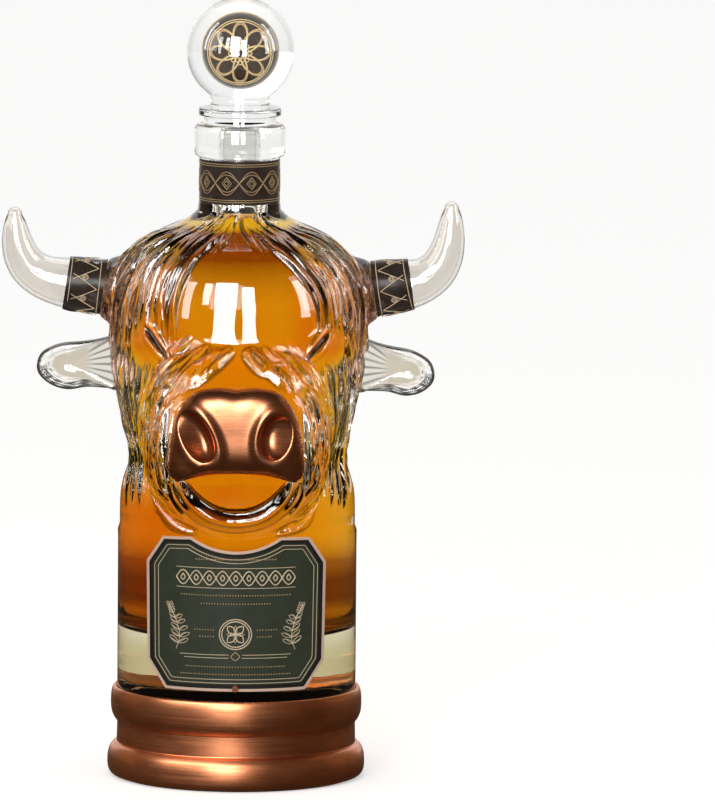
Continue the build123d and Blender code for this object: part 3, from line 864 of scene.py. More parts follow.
def make_nose(tree):
    """The cast copper nose: a soft broad pad with flared, hollow nostrils."""
    edge = nose_edge(220)
    middle = np.array([0, nose_height * 0.50])
    rows = []
    rounding = 1 - 0.1 * np.cos(np.linspace(0.05, 1, 16) * math.pi / 2)
    for share in np.concatenate([np.linspace(0.02, 0.9, 62), rounding]):
        flat = middle + (edge - middle) * share
        x, z = flat[:, 0], flat[:, 1] + nose_bottom
        swell = nose_thickness * (1 - share**4.5) ** 0.47
        swell *= 1 - 0.10 * (x / nose_half_width) ** 2
        front = muzzle_reach + swell + nose_front(x, z) * rising(1 - share, 0.08)
        rows.append(np.stack([x, -front, z], 1))
    rows[-1][:, 1] = -muzzle_reach
    back = []
    for x, _, z in rows[-1]:
        hit = tree.ray_cast(Vector((x * 0.985, -ray_start, z)), Vector((0, 1, 0)))[0]
        depth = -hit.y if hit is not None and hit.y < -0.050 else 0.0545
        back.append(min(depth + 0.00002, muzzle_reach - 0.0004))
    rim, seat = rows[-1].copy(), rows[-1].copy()
    rim[:, 1] = -np.minimum(muzzle_reach, np.array(back) + 0.0006)
    seat[:, 1] = -np.array(back)
    rows += [rim, seat]
    back_level = -muzzle_reach - 0.00005
    for share in (0.8, 0.5, 0.2):
        flat = middle + (edge - middle) * share
        rows.append(np.stack([flat[:, 0], np.full(len(flat), back_level), flat[:, 1] + nose_bottom], 1))
    peak = muzzle_reach + nose_thickness
    centre = middle[1] + nose_bottom
    return link_rings("nose_pad", rows, (0, -peak, centre), (0, back_level, centre))


def square_to(way):
    """A direction made one long, and two directions square to it and to each other."""
    way = way / np.linalg.norm(way)
    across = np.cross(way, (0, 1, 0))
    across /= np.linalg.norm(across)
    return way, across, np.cross(across, way)


# Horns and ears


def horn_line(side, steps):
    """A horn's centre line and radius, from its root to the middle of its tip."""
    reach, lift = horn_reaches[side]
    root = np.array([signs[side] * horn_out, 0, horn_level])
    points = [root + [signs[side] * reach * r, -horn_lean * u, lift * u] for r, u, _ in horn_shares]
    sizes = [[size * horn_radius] for _, _, size in horn_shares]
    both = np.concatenate([np.array(points), np.array(sizes)], 1)
    line = curve_through(both, steps)
    return line[:, :3], line[:, 3]


def horn_rings(side, inset, start, end, count):
    """Rings round a horn's centre line between two shares of it, drawn in by an inset, and that line."""
    line, radius = horn_line(side, horn_steps)
    ways = np.gradient(line, axis=0)
    slope = math.radians(horn_slope)
    ways[0] = (signs[side] * math.cos(slope), 0, math.sin(slope))
    rows = []
    turns = np.linspace(0, math.tau, count, endpoint=False)
    for i in range(int(start * (horn_steps - 1)), int(end * (horn_steps - 1)) + 1):
        across, over = square_to(ways[i])[1:]
        size = radius[i] - min(inset, radius[i] * 0.34)
        rows.append(line[i] + size * (np.cos(turns)[:, None] * across + np.sin(turns)[:, None] * over))
    return rows, line[-1], square_to(ways[-1])[0], radius[-1]


def make_horn(side):
    """A drawn glass horn, hollow nearly to its solid tip."""
    skins = []
    for name, inset, start, share, steps in (("horn", 0.0, 0, 1, 8), ("hollow", 0.0014, 0.03, 0.66, 6)):
        rows, tip, way, size = horn_rings(side, inset, start, 1.0, 96)
        size *= share
        last, root = rows[-1], rows[0].mean(0)
        for step in range(1, steps):
            a = math.pi / 2 * step / steps
            rows.append(tip + (last - tip) * math.cos(a) + way * size * math.sin(a))
        skins.append(link_rings(name, rows, root, tip + way * size, turned_in=name == "hollow"))
    return joined(f"glass_horn_{side}", skins)


def make_ear(side):
    """A leaf-shaped glass ear, cupped, with a thick rolled rim and a root that flares into the head."""
    sign = signs[side]
    reach, droop = ear_reaches[side]
    length = reach - ear_root
    loop = curve_through(ear_shares + ear_shares[:1], 240)
    out, up = evened(loop, 144, [length, ear_half_height]).T
    middle = np.array([0.60, 0.03])
    turns = np.arctan2(up - middle[1], out - middle[0])
    bumps = 1 + 0.14 * np.sin(turns * 7 + 1.0) + 0.10 * np.sin(turns * 13)
    dish = 0.55 + 0.36 * rising(middle[0] - out, middle[0])
    under = rising(0.25 - up, 0.4) * rising(out - 0.05, 0.2)
    shares = np.concatenate([np.linspace(0.06, 0.50, 9), np.linspace(0.54, 0.996, 26)])
    rows, shades, bowl = [], [], []
    # The front from its middle outwards, then the back from its edge inwards
    for face, face_shares in ((-1, shares), (1, shares[::-1])):
        for share in face_shares:
            roll = rising(share - dish, 1 - dish)
            swell = 0.5 - 0.5 * np.cos(np.minimum(roll / 0.55, 1) * math.pi)
            thick = ear_thin + 0.0021 * bumps * swell
            thick = thick * np.sqrt(1 - rising(roll - 0.55, 0.45) ** 2)
            x = ear_root + length * (middle[0] + (out - middle[0]) * share)
            gone = (x - ear_root) / length
            cup = ear_cup * np.clip(1 - (share / (dish + 0.2)) ** 2, 0, 1)
            level = ear_level + ear_half_height * (middle[1] + (up - middle[1]) * share) - droop * gone
            rows.append(np.stack([sign * x, cup + face * thick - ear_forward, level], 1))
            # Painted shade on the front: a dark outline at the rim and a mottled band under the lower roll;
            # dark streaks at the root
            speckle = np.sin(turns * 9 + share * 35) * np.sin(turns * 16 - share * 45)
            band = rising(share - 0.66, 0.04) * under * np.clip(0.85 + 0.75 * speckle, 0, 1)
            edge = rising(share - 0.87, 0.04)
            root = rising(0.42 - gone, 0.12)
            strand = root * np.clip(1.2 * np.sin(up * 15 + 1.3) - 0.35, 0, 0.6)
            shades.append(np.maximum(np.maximum(band, edge), strand) * (face < 0))
            bowl.append(rising(dish + 0.03 - share, 0.06) * (1 - root) + 0.5 * root)
    x = sign * (ear_root + length * middle[0])
    level = ear_level + ear_half_height * middle[1] - droop * middle[0]
    start, end = ((x, ear_cup + face * ear_thin - ear_forward, level) for face in (-1, 1))
    ear = link_rings(f"glass_ear_{side}", rows, start, end)
    shades = np.clip(np.concatenate(shades + [[0, 0]]), 0, 0.97)
    paint(ear, "painted_shade", 1 - (1 - shades) ** 2)
    paint(ear, "bowl", np.concatenate(bowl + [[1, 1]]))
    return ear


# Foil lines


def foil_tree(name, shape):
    """A geometry tree that makes even curves of mesh lines, and foil of them by one of the shapes below."""
    tree = bpy.data.node_groups.new(name, "GeometryNodeTree")
    kinds = {"Lines": "Geometry", "Width": "Float", "Spacing": "Float", "Finish": "Material"}
    for label, kind in kinds.items():
        tree.interface.new_socket(name=label, in_out="INPUT", socket_type="NodeSocket" + kind)
    tree.interface.new_socket(name="Foil", in_out="OUTPUT", socket_type="NodeSocketGeometry")
    given = tree.nodes.new("NodeGroupInput").outputs
    curves = add_node(tree, "GeometryNodeMeshToCurve", {"Mesh": given["Lines"]}).outputs["Curve"]
    spaced = {"Curve": curves, "Length": given["Spacing"]}
    even = add_node(tree, "GeometryNodeResampleCurve", spaced, mode="LENGTH").outputs["Curve"]
    made = shape(tree, even, maths(tree, "MULTIPLY", given["Width"], 0.5))
    real = add_node(tree, "GeometryNodeRealizeInstances", {"Geometry": made}).outputs["Geometry"]
    coat = add_node(tree, "GeometryNodeSetMaterial", {"Geometry": real, "Material": given["Finish"]})
    add_node(tree, "NodeGroupOutput", {"Foil": coat.outputs["Geometry"]})
    return tree


def foil_thread(tree, line, radius):
    """A fine raised thread of foil along a line."""
    section = add_node(tree, "GeometryNodeCurvePrimitiveCircle", {"Resolution": 6, "Radius": radius})
    swept = {"Curve": line, "Profile Curve": section.outputs["Curve"], "Fill Caps": True}
    return add_node(tree, "GeometryNodeCurveToMesh", swept).outputs["Mesh"]


def foil_beads(tree, line, radius):
    """A small foil bead at every step along a line."""
    bead = add_node(tree, "GeometryNodeMeshIcoSphere", {"Subdivisions": 1, "Radius": radius})
    placed = {"Points": line, "Instance": bead.outputs["Mesh"]}
    return add_node(tree, "GeometryNodeInstanceOnPoints", placed).outputs["Instances"]


def lay_foil(name, tree, lines, width, spacing, material, body):
    """Lays foil along lines of points with a geometry tree and makes it a plain mesh on a body."""
    mesh = bpy.data.meshes.new(name)
    places, edges = [], []
    for line in lines:
        first = len(places)
        places += [tuple(point) for point in line]
        edges += [(first + i, first + i + 1) for i in range(len(line) - 1)]
    mesh.from_pydata(places, edges, [])
    draft = add_object(name + "_draft", mesh)
    nodes = draft.modifiers.new("foil", "NODES")
    nodes.node_group = tree
    given = {"Width": width, "Spacing": spacing, "Finish": material}
    for item in tree.interface.items_tree:
        if item.in_out == "INPUT" and item.name in given:
            nodes[item.identifier] = given[item.name]
    shown = draft.evaluated_get(bpy.context.evaluated_depsgraph_get())
    made = link_smooth(name, bpy.data.meshes.new_from_object(shown))
    bpy.data.objects.remove(draft)
    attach(made, body)
    return made


# The label


def label_point(x, up, proud=0.00006):
    """A point on the label's face: across its front, and up from its lower edge."""
    reach = label_skin + proud
    return (x, -math.sqrt(max(reach**2 - x**2, 0)), label_bottom + up)


def label_loop(inset):
    """The label's outline drawn in by an inset, as a closed line across and up."""
    right = [(x * label_half_width, y * label_height) for x, y in label_shares]
    half = right[0][0]
    sag = label_dip
    radius = (half**2 + sag**2) / (2 * sag)
    spread = math.asin(half / radius)
    top = []
    for turn in np.linspace(-spread, spread, 25):
        top.append((radius * math.sin(turn), label_height - sag + radius * (1 - math.cos(turn))))
    loop = np.array(top + right[1:] + [(-x, y) for x, y in reversed(right[1:])], float)
    before, after = np.roll(loop, 1, axis=0), np.roll(loop, -1, axis=0)
    first, second = loop - before, after - loop
    first /= np.linalg.norm(first, axis=1, keepdims=True)
    second /= np.linalg.norm(second, axis=1, keepdims=True)
    inwards = np.stack([first[:, 1] + second[:, 1], -first[:, 0] - second[:, 0]], 1)
    inwards /= np.linalg.norm(inwards, axis=1, keepdims=True)
    turn = np.sum(inwards * np.stack([first[:, 1], -first[:, 0]], 1), axis=1)
    moved = loop + inwards * (inset / np.maximum(turn, 0.5))[:, None]
    return np.concatenate([moved, moved[:1]])


def dense(line, step=0.0006):
    """A flat line with points close enough together to wrap round the glass."""
    made = [line[0]]
    for a, b in zip(line[:-1], line[1:]):
        count = max(1, int(np.linalg.norm(b - a) / step))
        made += [a + (b - a) * (i + 1) / count for i in range(count)]
    return np.array(made)


def on_label(line, proud=0.00006):
    """A flat line wrapped onto the label."""
    return [label_point(x, up, proud) for x, up in dense(np.array(line, float))]


def label_border():
    """The black border printed inside the label's rim."""
    bm = bmesh.new()
    count = 599
    strips = [evened(dense(label_loop(inset)), count) for inset in (0.0010, 0.0024)]
    rims = [[bm.verts.new(label_point(x, up, 0.00003)) for x, up in strip] for strip in strips]
    for i in range(count):
        j = (i + 1) % count
        bm.faces.new((rims[0][i], rims[1][i], rims[1][j], rims[0][j]))
    bmesh.ops.recalc_face_normals(bm, faces=bm.faces)
    return link_mesh("label_border", bm)


def leaf_loop(x, up, length, width, turn):
    """A small leaf's outline from its foot, turned from upright."""
    shares = np.linspace(0, 1, 9)
    side = np.sin(shares * math.pi) ** 0.8 * width / 2
    right = np.stack([side, shares * length], 1)
    loop = np.concatenate([right, (right * [-1, 1])[::-1][1:]])
    turn = math.radians(turn)
    spun = np.array([[math.cos(turn), -math.sin(turn)], [math.sin(turn), math.cos(turn)]])
    return loop @ spun.T + [x, up]


def barley_sprig(side):
    """A stem with paired leaves and an ear of grain."""
    stem = curve_through([(22.5, 15.5), (21.2, 20.0), (22.0, 25.0), (24.0, 30.0)], 24)
    lines = [stem]
    for place, length in ((4, 4.4), (8, 4.2), (12, 3.8), (16, 3.4), (19, 3.0)):
        x, up = stem[place]
        for turn in (-50, 66):
            leaf = leaf_loop(x, up, length, 1.5, turn)
            lines += [leaf, np.array([(x, up), leaf[6]])]
    for n in range(4):
        x, up = stem[-1] + np.array([0.35, 1.0]) * n * 0.9
        for turn in (-38, 22):
            lines.append(leaf_loop(x, up - 1.0, 2.2, 1.0, turn))
    return [line * [side, 1] for line in lines]


def diamond(wide, high):
    """A closed lozenge of points round nought."""
    return np.array([(0, high), (wide, 0), (0, -high), (-wide, 0), (0, high)])


def label_print(lines_tree, beads_tree, cream, gold):
    """The label's printed ornament: borders, a laced title band, a centre roundel, sprigs and rules."""

    def lay(lines, points, proud=0.00006):
        lines.append(on_label(np.array(points) * mm, proud))

    def lay_rules(lines, rules, proud=0.00006):
        for start, end, level in rules:
            lay(lines, [(start, level), (end, level)], proud)

    thin = [on_label(label_loop(0.0031)), on_label(label_loop(0.0045))]
    bold, grains = [], []
    # Title band: two laced waves with a lozenge in every eye
    spots = np.linspace(-22.5, 22.5, 181)
    for sign in (-1, 1):
        lay(bold, np.stack([spots, 43.2 + sign * 2.7 * np.cos(spots * math.pi / 5.0)], 1))
    for n in range(9):
        lay(bold, diamond(0.9, 1.3) + [-20 + 5.0 * n, 43.2])
    lay_rules(thin, ((-22.5, 22.5, 47.0), (-22.5, 22.5, 39.4)))
    # Small rules of beads above and below it
    lay_rules(grains, ((-15.0, 15.0, 50.3), (-20.5, 20.5, 36.6), (-13.0, 13.0, 33.4)), 0.0)
    # Centre roundel
    turns = np.linspace(0, math.tau, 49)
    for radius in (6.1, 5.2):
        lay(bold, np.stack([radius * np.cos(turns), 21.8 + radius * 0.94 * np.sin(turns)], 1))
    for lines, length, width, lean in ((bold, 4.3, 2.6, 45), (thin, 3.4, 1.2, 0)):
        for n in range(4):
            lay(lines, leaf_loop(0, 21.8, length, width, lean + 90 * n))
    for side in (-1, 1):
        lay_rules(grains, [(side * 8.3, side * 15.5, 23.4), (side * 8.3, side * 13.5, 20.8)], 0.0)
        for line in barley_sprig(side):
            lay(thin, line)
    # Foot: rules, a middle lozenge and two rows of beads
    for level, half in ((13.9, 21.0), (12.7, 19.5)):
        lay_rules(thin, [(side * 2.6, side * half, level) for side in (-1, 1)])
    lay(thin, diamond(1.9, 1.7) + [0, 13.3])
    lay_rules(grains, ((-18.5, 18.5, 9.3), (-20.5, 20.5, 6.4)), 0.0)
    lay_foil("label_lines", lines_tree, thin, 0.00026, 0.0009, cream, "decanter")
    lay_foil("label_bands", lines_tree, bold, 0.00048, 0.0007, cream, "decanter")
    lay_foil("label_beads", beads_tree, grains, 0.00062, 0.00105, gold, "decanter")


# Bands and core


def neck_point(turn, up, proud=0.00005):
    """A point on the neck band, from its turn and its height above the band's foot."""
    reach = neck_band_skin + proud
    return (reach * math.sin(turn), -reach * math.cos(turn), neck_band_bottom + up)


def neck_print():
    """The neck band's lines: borders, laced waves and lozenges."""
    lines = []
    turns = np.linspace(0, math.tau, 241)
    for up in (0.0011, 0.0019, neck_band_height - 0.0011, neck_band_height - 0.0019):
        lines.append([neck_point(turn, up) for turn in turns])
    middle = neck_band_height * 0.5
    for phase in (0.0, math.pi):
        for swing in (0.0044, 0.0033):
            lines.append([neck_point(t, middle + swing * math.sin(t * 5 + phase)) for t in turns])
    for n in range(10):
        turn = math.tau * (n + 0.5) / 10
        for size in (0.0023, 0.0012):
            lozenge = diamond(size * 0.8, size)
            lines.append([neck_point(turn + x / neck_band_skin, middle + z) for x, z in lozenge])
    return lines


def horn_band_print(side):
    """A horn band's lines: borders, slanting lattice and lozenges between."""
    line, radius = horn_line(side, horn_steps)
    ways = np.gradient(line, axis=0)
    along = way_along(line)

    def point(turn, place):
        i = min(int(np.interp(place, along, np.arange(horn_steps))), horn_steps - 2)
        share = (place - along[i]) / (along[i + 1] - along[i])
        across, over = square_to(ways[i])[1:]
        size = radius[i] + (radius[i + 1] - radius[i]) * share + horn_band_proud + 0.00008
        middle = line[i] + (line[i + 1] - line[i]) * share
        return middle + size * (math.cos(turn) * across + math.sin(turn) * over)

    turns = np.linspace(0, math.tau, 97)
    lines = [[point(t, place) for t in turns] for place in (0.0020, horn_band_length - 0.0012)]
    for n in range(8):
        start = math.tau * n / 8
        for lean in (-0.5, 0.5):
            lines.append([point(start + lean * s, 0.0028 + 0.0094 * s) for s in np.linspace(0, 1, 9)])
        for size in (0.0013, 0.0006):
            lines.append([point(start + 0.39 + x / 0.010, 0.0075 + z) for x, z in diamond(size, size)])
    return lines


def core_point(side, reach, turn):
    """A point on the core, at a reach in degrees from its front or back, at a turn round it."""
    reach = math.radians(reach)
    size = core_radius + 0.00009
    x = math.sin(reach) * math.cos(turn)
    z = math.sin(reach) * math.sin(turn)
    return (size * x, -side * size * math.cos(reach), globe_centre + size * z)


def core_print():
    """The core's laced knot, as double lines on its front and its back."""
    lines = []
    turns = np.linspace(0, math.tau, 145)
    for side in (-1, 1):
        for reach in (66.0, 72.0):
            lines.append([core_point(side, reach, t) for t in turns])
        for phase in (0.0, math.pi / 4):
            for offset in (-2.4, 2.4):
                loop = [core_point(side, 36 + offset + 26 * math.cos(4 * t + phase * 4), t) for t in turns]
                lines.append(loop)
        for reach in (11.0, 19.0):
            lines.append([core_point(side, reach + 3 * math.cos(8 * t), t) for t in turns])
    return lines


def make_core():
    """The ornamental ball, cast into the glass without a gap."""
    bm = bmesh.new()
    bmesh.ops.create_uvsphere(bm, u_segments=96, v_segments=48, radius=core_radius + 0.00006)
    for vertex in bm.verts:
        vertex.co.z += globe_centre
    return link_mesh("cast_core", bm)


# Finishes


def finish(name, inputs):
    """A new material, with some inputs of its Principled shader set."""
    made = bpy.data.materials.new(name)
    made.use_nodes = True
    set_inputs(made.node_tree.nodes["Principled BSDF"], inputs)
    return made


def floor_finish():
    """White to the camera, metal and glass, with the shadow of what stands on it."""
    made = finish(
        "pale_floor",
        {
            "Base Color": (0.80, 0.80, 0.79, 1),
            "Roughness": 0.6,
            "Specular IOR Level": 0.0,
            "Emission Color": (1, 1, 1, 1),
        },
    )
    tree = made.node_tree
    glow = maths(tree, "MULTIPLY", seen_by_eye(tree), 0.46)
    set_inputs(tree.nodes["Principled BSDF"], {"Emission Strength": glow})
    return made


def flag_finish(name, *colour):
    """Cloth of an even colour."""
    return finish(
        name,
        {
            "Base Color": (0.0, 0.0, 0.0, 1),
            "Roughness": 1.0,
            "Specular IOR Level": 0.0,
            "Emission Color": (*colour, 1),
            "Emission Strength": 1.0,
        },
    )


def effect_group(name, first, second, effect):
    """A shader group that makes a surface of two colours and two roughnesses, by one of the effects below."""
    colour, number = "NodeSocketColor", "NodeSocketFloat"
    tree = bpy.data.node_groups.new(name, "ShaderNodeTree")
    for label, kind in ((first, colour), (second, colour), ("Smoothest", number), ("Roughest", number)):
        tree.interface.new_socket(name=label, in_out="INPUT", socket_type=kind)
    for label, kind in (("Colour", colour), ("Roughness", number), ("Height", number)):
        tree.interface.new_socket(name=label, in_out="OUTPUT", socket_type=kind)
    given = tree.nodes.new("NodeGroupInput").outputs
    share, wear, height = effect(tree)
    put = {
        "Colour": blended(tree, share, given[first], given[second]),
        "Roughness": ranged(tree, wear, 0.3, 0.7, given["Smoothest"], given["Roughest"]),
        "Height": height,
    }
    add_node(tree, "NodeGroupOutput", put)
    return tree


def brushed_effect(tree):
    """Metal brushed along the level, with soft tarnish and finer grain: its share, wear and height."""
    streak = object_noise(tree, (28.0, 28.0, 1900.0), 4.0)
    broad = object_noise(tree, (60.0, 60.0, 150.0), 3.0)
    tarnish = ranged(tree, broad, 0.42, 0.70, 0.0, 0.55)
    scratched = ranged(tree, streak, 0.35, 0.65, 0.0, 0.30)
    return maths(tree, "ADD", tarnish, scratched), streak, streak


def print_effect(tree):
    """The fine grain and wear of printed card, foil, felt and wood, in the same three values."""
    grain = object_noise(tree, (2600.0, 2600.0, 2600.0), 4.0)
    cloud = object_noise(tree, (130.0, 130.0, 130.0), 3.0)
    fleck = ranged(tree, grain, 0.35, 0.75, 0.0, 1.0)
    patch = ranged(tree, cloud, 0.30, 0.70, 0.35, 1.0)
    return maths(tree, "MULTIPLY", fleck, patch), cloud, grain


def object_noise(tree, stretch, detail):
    """Noise over the object's own coordinates, stretched along its axes."""
    place = tree.nodes.new("ShaderNodeTexCoord").outputs["Object"]
    turned = add_node(tree, "ShaderNodeMapping", {"Vector": place, "Scale": stretch}).outputs[0]
    inputs = {"Vector": turned, "Scale": 1.0, "Detail": detail}
    return add_node(tree, "ShaderNodeTexNoise", inputs).outputs["Fac"]


def ranged(tree, value, low, high, to_low, to_high):
    """A value mapped from one range to another."""
    inputs = {"Value": value, "From Min": low, "From Max": high, "To Min": to_low, "To Max": to_high}
    return add_node(tree, "ShaderNodeMapRange", inputs).outputs["Result"]


def blended(tree, share, a, b):
    """A colour between two others."""
    inputs = {"Factor": share, "A": a, "B": b}
    return add_node(tree, "ShaderNodeMix", inputs, data_type="RGBA").outputs["Result"]


def grained(name, group, ground, fleck, smoothest, roughest, metallic=0.0, depth=0.00002, strength=0.3):
    """A material whose colour, gloss and relief come from one of the effect groups."""
    made = finish(name, {"Metallic": metallic})
    tree = made.node_tree
    inputs = {0: (*ground, 1), 1: (*fleck, 1), 2: smoothest, 3: roughest}
    effect = add_node(tree, "ShaderNodeGroup", inputs, node_tree=group).outputs
    inputs = {"Distance": depth, "Strength": strength, "Height": effect["Height"]}
    relief = add_node(tree, "ShaderNodeBump", inputs).outputs[0]
    inputs = {"Base Color": effect["Colour"], "Roughness": effect["Roughness"], "Normal": relief}
    set_inputs(tree.nodes["Principled BSDF"], inputs)
    return made


def through_glass(made, tint=(1, 1, 1, 1)):
    """Lets the light of lamps through to what is behind or inside the glass."""
    tree = made.node_tree
    shadow = tree.nodes.new("ShaderNodeLightPath").outputs["Is Shadow Ray"]
    clear = add_node(tree, "ShaderNodeBsdfTransparent", {"Color": tint}).outputs[0]
    seen = tree.nodes["Principled BSDF"].outputs[0]
    mix = add_node(tree, "ShaderNodeMixShader", {0: shadow, 1: seen, 2: clear}).outputs[0]
    set_inputs(tree.nodes["Material Output"], {"Surface": mix})
    return made


def glass_finish(name, tint, rim, turn_start, turn_end, *zones):
    """Clear glass with painted shade where it is seen along its skin. A zone is a painted share and its tint.
    """
    made = finish(name, {"Roughness": 0.0, "IOR": 1.5, "Transmission Weight": 1.0})
    tree = made.node_tree
    # Painted shade at the edges: the colour runs from the tint to the rim colour as the skin turns away from
    # view
    facing = add_node(tree, "ShaderNodeLayerWeight", {"Blend": 0.5}).outputs["Facing"]
    ramp = add_node(tree, "ShaderNodeValToRGB", {0: facing})
    for end, position, colour in zip(ramp.color_ramp.elements, (turn_start, turn_end), (tint, rim)):
        end.position = position
        end.color = (*colour, 1)
    colour = ramp.outputs[0]
    for zone, dye in zones:
        share = add_node(tree, "ShaderNodeAttribute", attribute_name=zone).outputs["Fac"]
        colour = blended(tree, share, colour, (*dye, 1))
    set_inputs(tree.nodes["Principled BSDF"], {"Base Color": colour})
    return through_glass(made)


def head_glass():
    """Clear glass with dark brown painted shade between the locks of hair, and painted shade at its edges and
    in some zones.
    """
    made = glass_finish(
        "clear_glass", (0.95, 0.955, 0.94), (0.58, 0.48, 0.38), 0.55, 0.97,
        # Amber at the temples with painted shade on the left side, a tint on the floor, and painted shade low
        # on the body and at the forehead's top
        ("amber", (0.82, 0.33, 0.22)),
        ("floor", (0.52, 0.46, 0.25)),
        ("deep", (0.125, 0.030, 0.010)),
        # Painted shade between the locks, in the eyes and in the mouth
        ("painted_shade", (0.0016, 0.0003, 0.0001)),
    )
    tree = made.node_tree
    inputs = {"Distance": 0.0004, "Strength": 0.25, "Height": object_noise(tree, (120.0, 120.0, 70.0), 1.0)}
    ripple = add_node(tree, "ShaderNodeBump", inputs).outputs[0]
    set_inputs(tree.nodes["Principled BSDF"], {"Normal": ripple})
    return made


def wet_finish(name, index):
    """The skin where glass and drink meet, which hardly shines."""
    return finish(
        name,
        {
            "Base Color": (1, 1, 1, 1),
            "Roughness": 0.0,
            "IOR": index,
            "Specular Tint": (0, 0, 0, 1),
            "Transmission Weight": 1.0,
        },
    )


def liquor_finish():
    """Aged amber drink, which deepens with the length of the way through it."""
    made = through_glass(wet_finish("amber_liquor", 1.34), (0.95, 0.62, 0.25, 1))
    tree = made.node_tree
    inputs = {"Color": (0.972, 0.858, 0.0, 1), "Density": 130.0}
    depth = add_node(tree, "ShaderNodeVolumeAbsorption", inputs).outputs[0]
    set_inputs(tree.nodes["Material Output"], {"Volume": depth})
    return made


def dress(node, material):
    """Gives a CAD node a finish."""
    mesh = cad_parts[node].data
    mesh.materials.clear()
    mesh.materials.append(material)


def place_piece(piece, body, slot_name, material=None, *nodes):
    """Lets a piece ride on a body with a finish if one is given, and stand for CAD nodes, which are hidden.
    The slot name is not used.
    """
    if material is not None:
        piece.data.materials.append(material)
    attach(piece, body)
    if nodes:
        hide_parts(*nodes)


bpy.context.scene.view_settings.view_transform = "Standard"
make_camera()
make_world(0.6)
make_floor()
front_cloth = flag_finish("brown_cloth", 0.120, 0.084, 0.054)
side_cloth = flag_finish("pale_cloth", 0.30, 0.22, 0.14)
for name, start, end, radius, high, cloth in (
    ("front_flag", -98, 98, 1.9, 2.2, front_cloth),
    ("right_flag", 96, 146, 1.3, 1.5, side_cloth),
    ("left_flag", -146, -96, 1.3, 1.5, side_cloth),
):
    make_flag(name, arc_line(radius, start, end, 0.0), arc_line(radius, start, end, high), cloth)
level_cloth = flag_finish("table_cloth", 0.066, 0.045, 0.028)
for name, hole, level in (("table_cloth", 0.040, 0.0003), ("ceiling_flag", 0.001, 2.21)):
    make_flag(name, arc_line(hole, 0, 360, level), arc_line(1.9, 0, 360, level), level_cloth)
make_softbox("key_box", (-0.30, -1.5, 0.80), (0, 0, 0.15), (0.8, 0.75), 12.0)
shiny = make_glints(
    "glass_only", False,
    ("window_left", -11, 17, 1.5, 0.50, 1.15, 24.0),
    ("window_right", 9, 14, 1.5, 0.29, 0.95, 24.0),
    ("window_thin", -29, 24, 1.5, 0.15, 0.60, 20.0),
    ("window_side", -45, 18, 1.5, 0.20, 0.90, 12.0),
    ("window_far", 60, 18, 1.5, 0.22, 0.90, 12.0),
    ("fill_left", -68, 24, 1.5, 0.85, 1.00, 3.8),
    ("fill_right", 74, 24, 1.5, 0.85, 1.00, 4.4),
    ("fill_top", 180, 66, 1.5, 1.40, 0.85, 3.8),
    ("strip_left", -82, 30, 1.4, 0.12, 1.3, 12.0),
    ("strip_right", 78, 30, 1.4, 0.12, 1.3, 12.0),
)
coppers = make_glints("copper_only", True, ("copper_box", -7, 10, 1.25, 0.50, 0.80, 4.6))
base_only = make_glints("base_only", True, ("copper_side", -46, 34, 1.25, 1.25, 0.70, 5.0))

bottle, hollow = make_bottle()
place_piece(bottle, "decanter", "clear_glass", None, "bottle_glass", "hair_left", "hair_right")
place_piece(make_liquor(hollow), "decanter", "clear_glass", liquor_finish())

brushed = effect_group("brushed_metal", "Bright", "Tarnished", brushed_effect)
printed = effect_group("fine_grain", "Ground", "Fleck", print_effect)
# Two colours, the least and the most roughness, then how metallic, and the relief's depth and strength
copper, cast_copper = (
    grained(name, brushed, *values)
    for name, *values in (
        ("copper", (0.76, 0.295, 0.14), (0.40, 0.13, 0.055), 0.29, 0.44, 1.0, 0.00003, 0.25),
        ("cast_copper", (0.62, 0.25, 0.125), (0.36, 0.13, 0.065), 0.24, 0.33, 1.0, 0.00002, 0.2),
    )
)
set_inputs(copper.node_tree.nodes["Principled BSDF"], {"Anisotropic": 0.35, "Anisotropic Rotation": 0.25})
band_black, cream, gold, border, green, rose, felt, wood, core_brown = (
    grained(name, printed, *values)
    for name, *values in (
        ("band_print", (0.020, 0.013, 0.010), (0.055, 0.040, 0.030), 0.22, 0.40),
        ("cream_foil", (0.72, 0.60, 0.42), (0.50, 0.39, 0.24), 0.30, 0.45, 0.15),
        ("gold_foil", (0.62, 0.46, 0.24), (0.36, 0.25, 0.12), 0.28, 0.45, 0.4),
        ("border_ink", (0.010, 0.010, 0.009), (0.022, 0.024, 0.020), 0.30, 0.45),
        ("label_green", (0.026, 0.035, 0.019), (0.046, 0.056, 0.034), 0.36, 0.52),
        ("label_edge", (0.80, 0.60, 0.49), (0.62, 0.42, 0.33), 0.28, 0.42, 0.3),
        ("felt", (0.040, 0.038, 0.036), (0.075, 0.070, 0.064), 0.9, 1.0, 0.0, 0.0002, 0.8),
        ("block_wood", (0.30, 0.18, 0.09), (0.18, 0.10, 0.05), 0.5, 0.7, 0.0, 0.0001),
        ("core_print", (0.020, 0.012, 0.008), (0.050, 0.030, 0.018), 0.15, 0.3),
    )
)

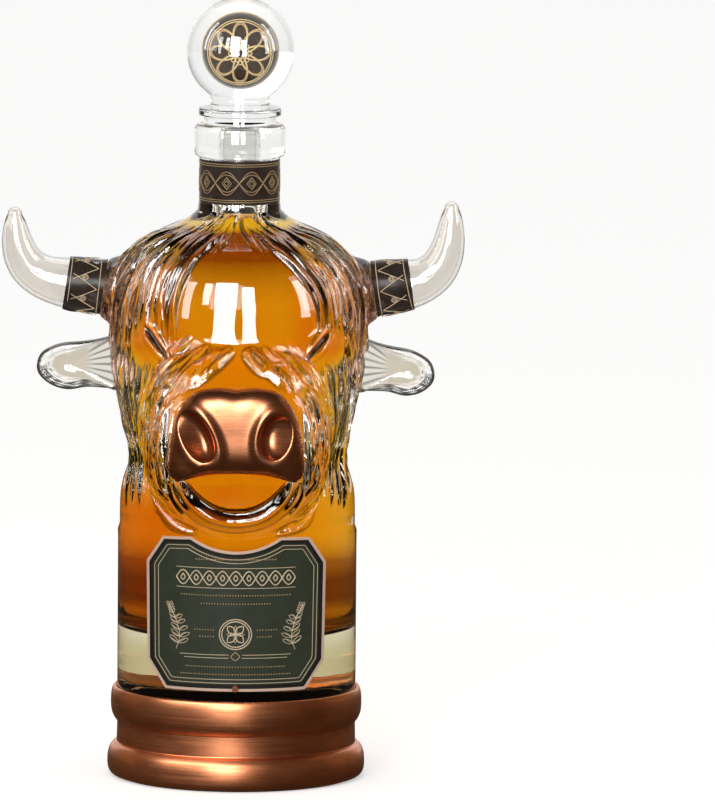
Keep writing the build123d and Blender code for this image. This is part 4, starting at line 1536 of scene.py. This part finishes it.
nose = make_nose(surface_tree("bottle_glass"))
place_piece(nose, "decanter", "copper", cast_copper, "nose_cap")
base = make_base()
place_piece(base, "decanter", "copper", copper, "base_shell")
# Each glass: its tint, the painted shade at its edges, and where that shade starts and ends
horn_glass = glass_finish("horn_glass", (0.86, 0.83, 0.79), (0.13, 0.12, 0.10), 0.50, 0.95)
# The ear: painted shade at its edges, a tint in its bowl, and the colour of its painted shade
ear_glass = glass_finish(
    "ear_glass", (0.95, 0.94, 0.90), (0.10, 0.09, 0.07), 0.50, 0.95,
    ("bowl", (0.66, 0.60, 0.49)),
    ("painted_shade", (0.003, 0.0026, 0.0016)),
)
ball_glass = glass_finish("ball_glass", (0.93, 0.945, 0.935), (0.30, 0.31, 0.29), 0.50, 0.98)
seal_clear = glass_finish("clear_plastic", (0.93, 0.93, 0.91), (0.45, 0.45, 0.42), 0.50, 0.98)
for side in signs:
    horn, ear = make_horn(side), make_ear(side)
    place_piece(horn, "decanter", "clear_glass", horn_glass, f"horn_{side}")
    place_piece(ear, "decanter", "clear_glass", ear_glass, f"ear_{side}")
    shiny.objects.link(horn)
    shiny.objects.link(ear)
    dress(f"horn_band_{side}", band_black)
for node, material in (
    ("stopper_globe", ball_glass), ("stopper_plug", seal_clear), ("stopper_seal", seal_clear),
    ("label_pin", copper), ("neck_band", band_black), ("label_plate", green), ("label_rim", rose),
    ("seat_pad", felt), ("foot_pad", felt), ("base_core", wood),
):
    dress(node, material)
place_piece(make_core(), "stopper", "core_print", core_brown, "stopper_core")
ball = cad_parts["stopper_globe"]
for group, piece in ((coppers, nose), (coppers, base), (base_only, base), (shiny, bottle), (shiny, ball)):
    group.objects.link(piece)

thread, bead = foil_tree("foil_lines", foil_thread), foil_tree("foil_beads", foil_beads)
place_piece(label_border(), "decanter", "label_edge", border)
label_print(thread, bead, cream, gold)
lay_foil("neck_band_lines", thread, neck_print(), 0.00030, 0.0007, gold, "decanter")
for side in signs:
    name, lines = f"horn_band_lines_{side}", horn_band_print(side)
    lay_foil(name, thread, lines, 0.00034, 0.0008, cream, "decanter")
lay_foil("core_lines", thread, core_print(), 0.00034, 0.0005, gold, "stopper")
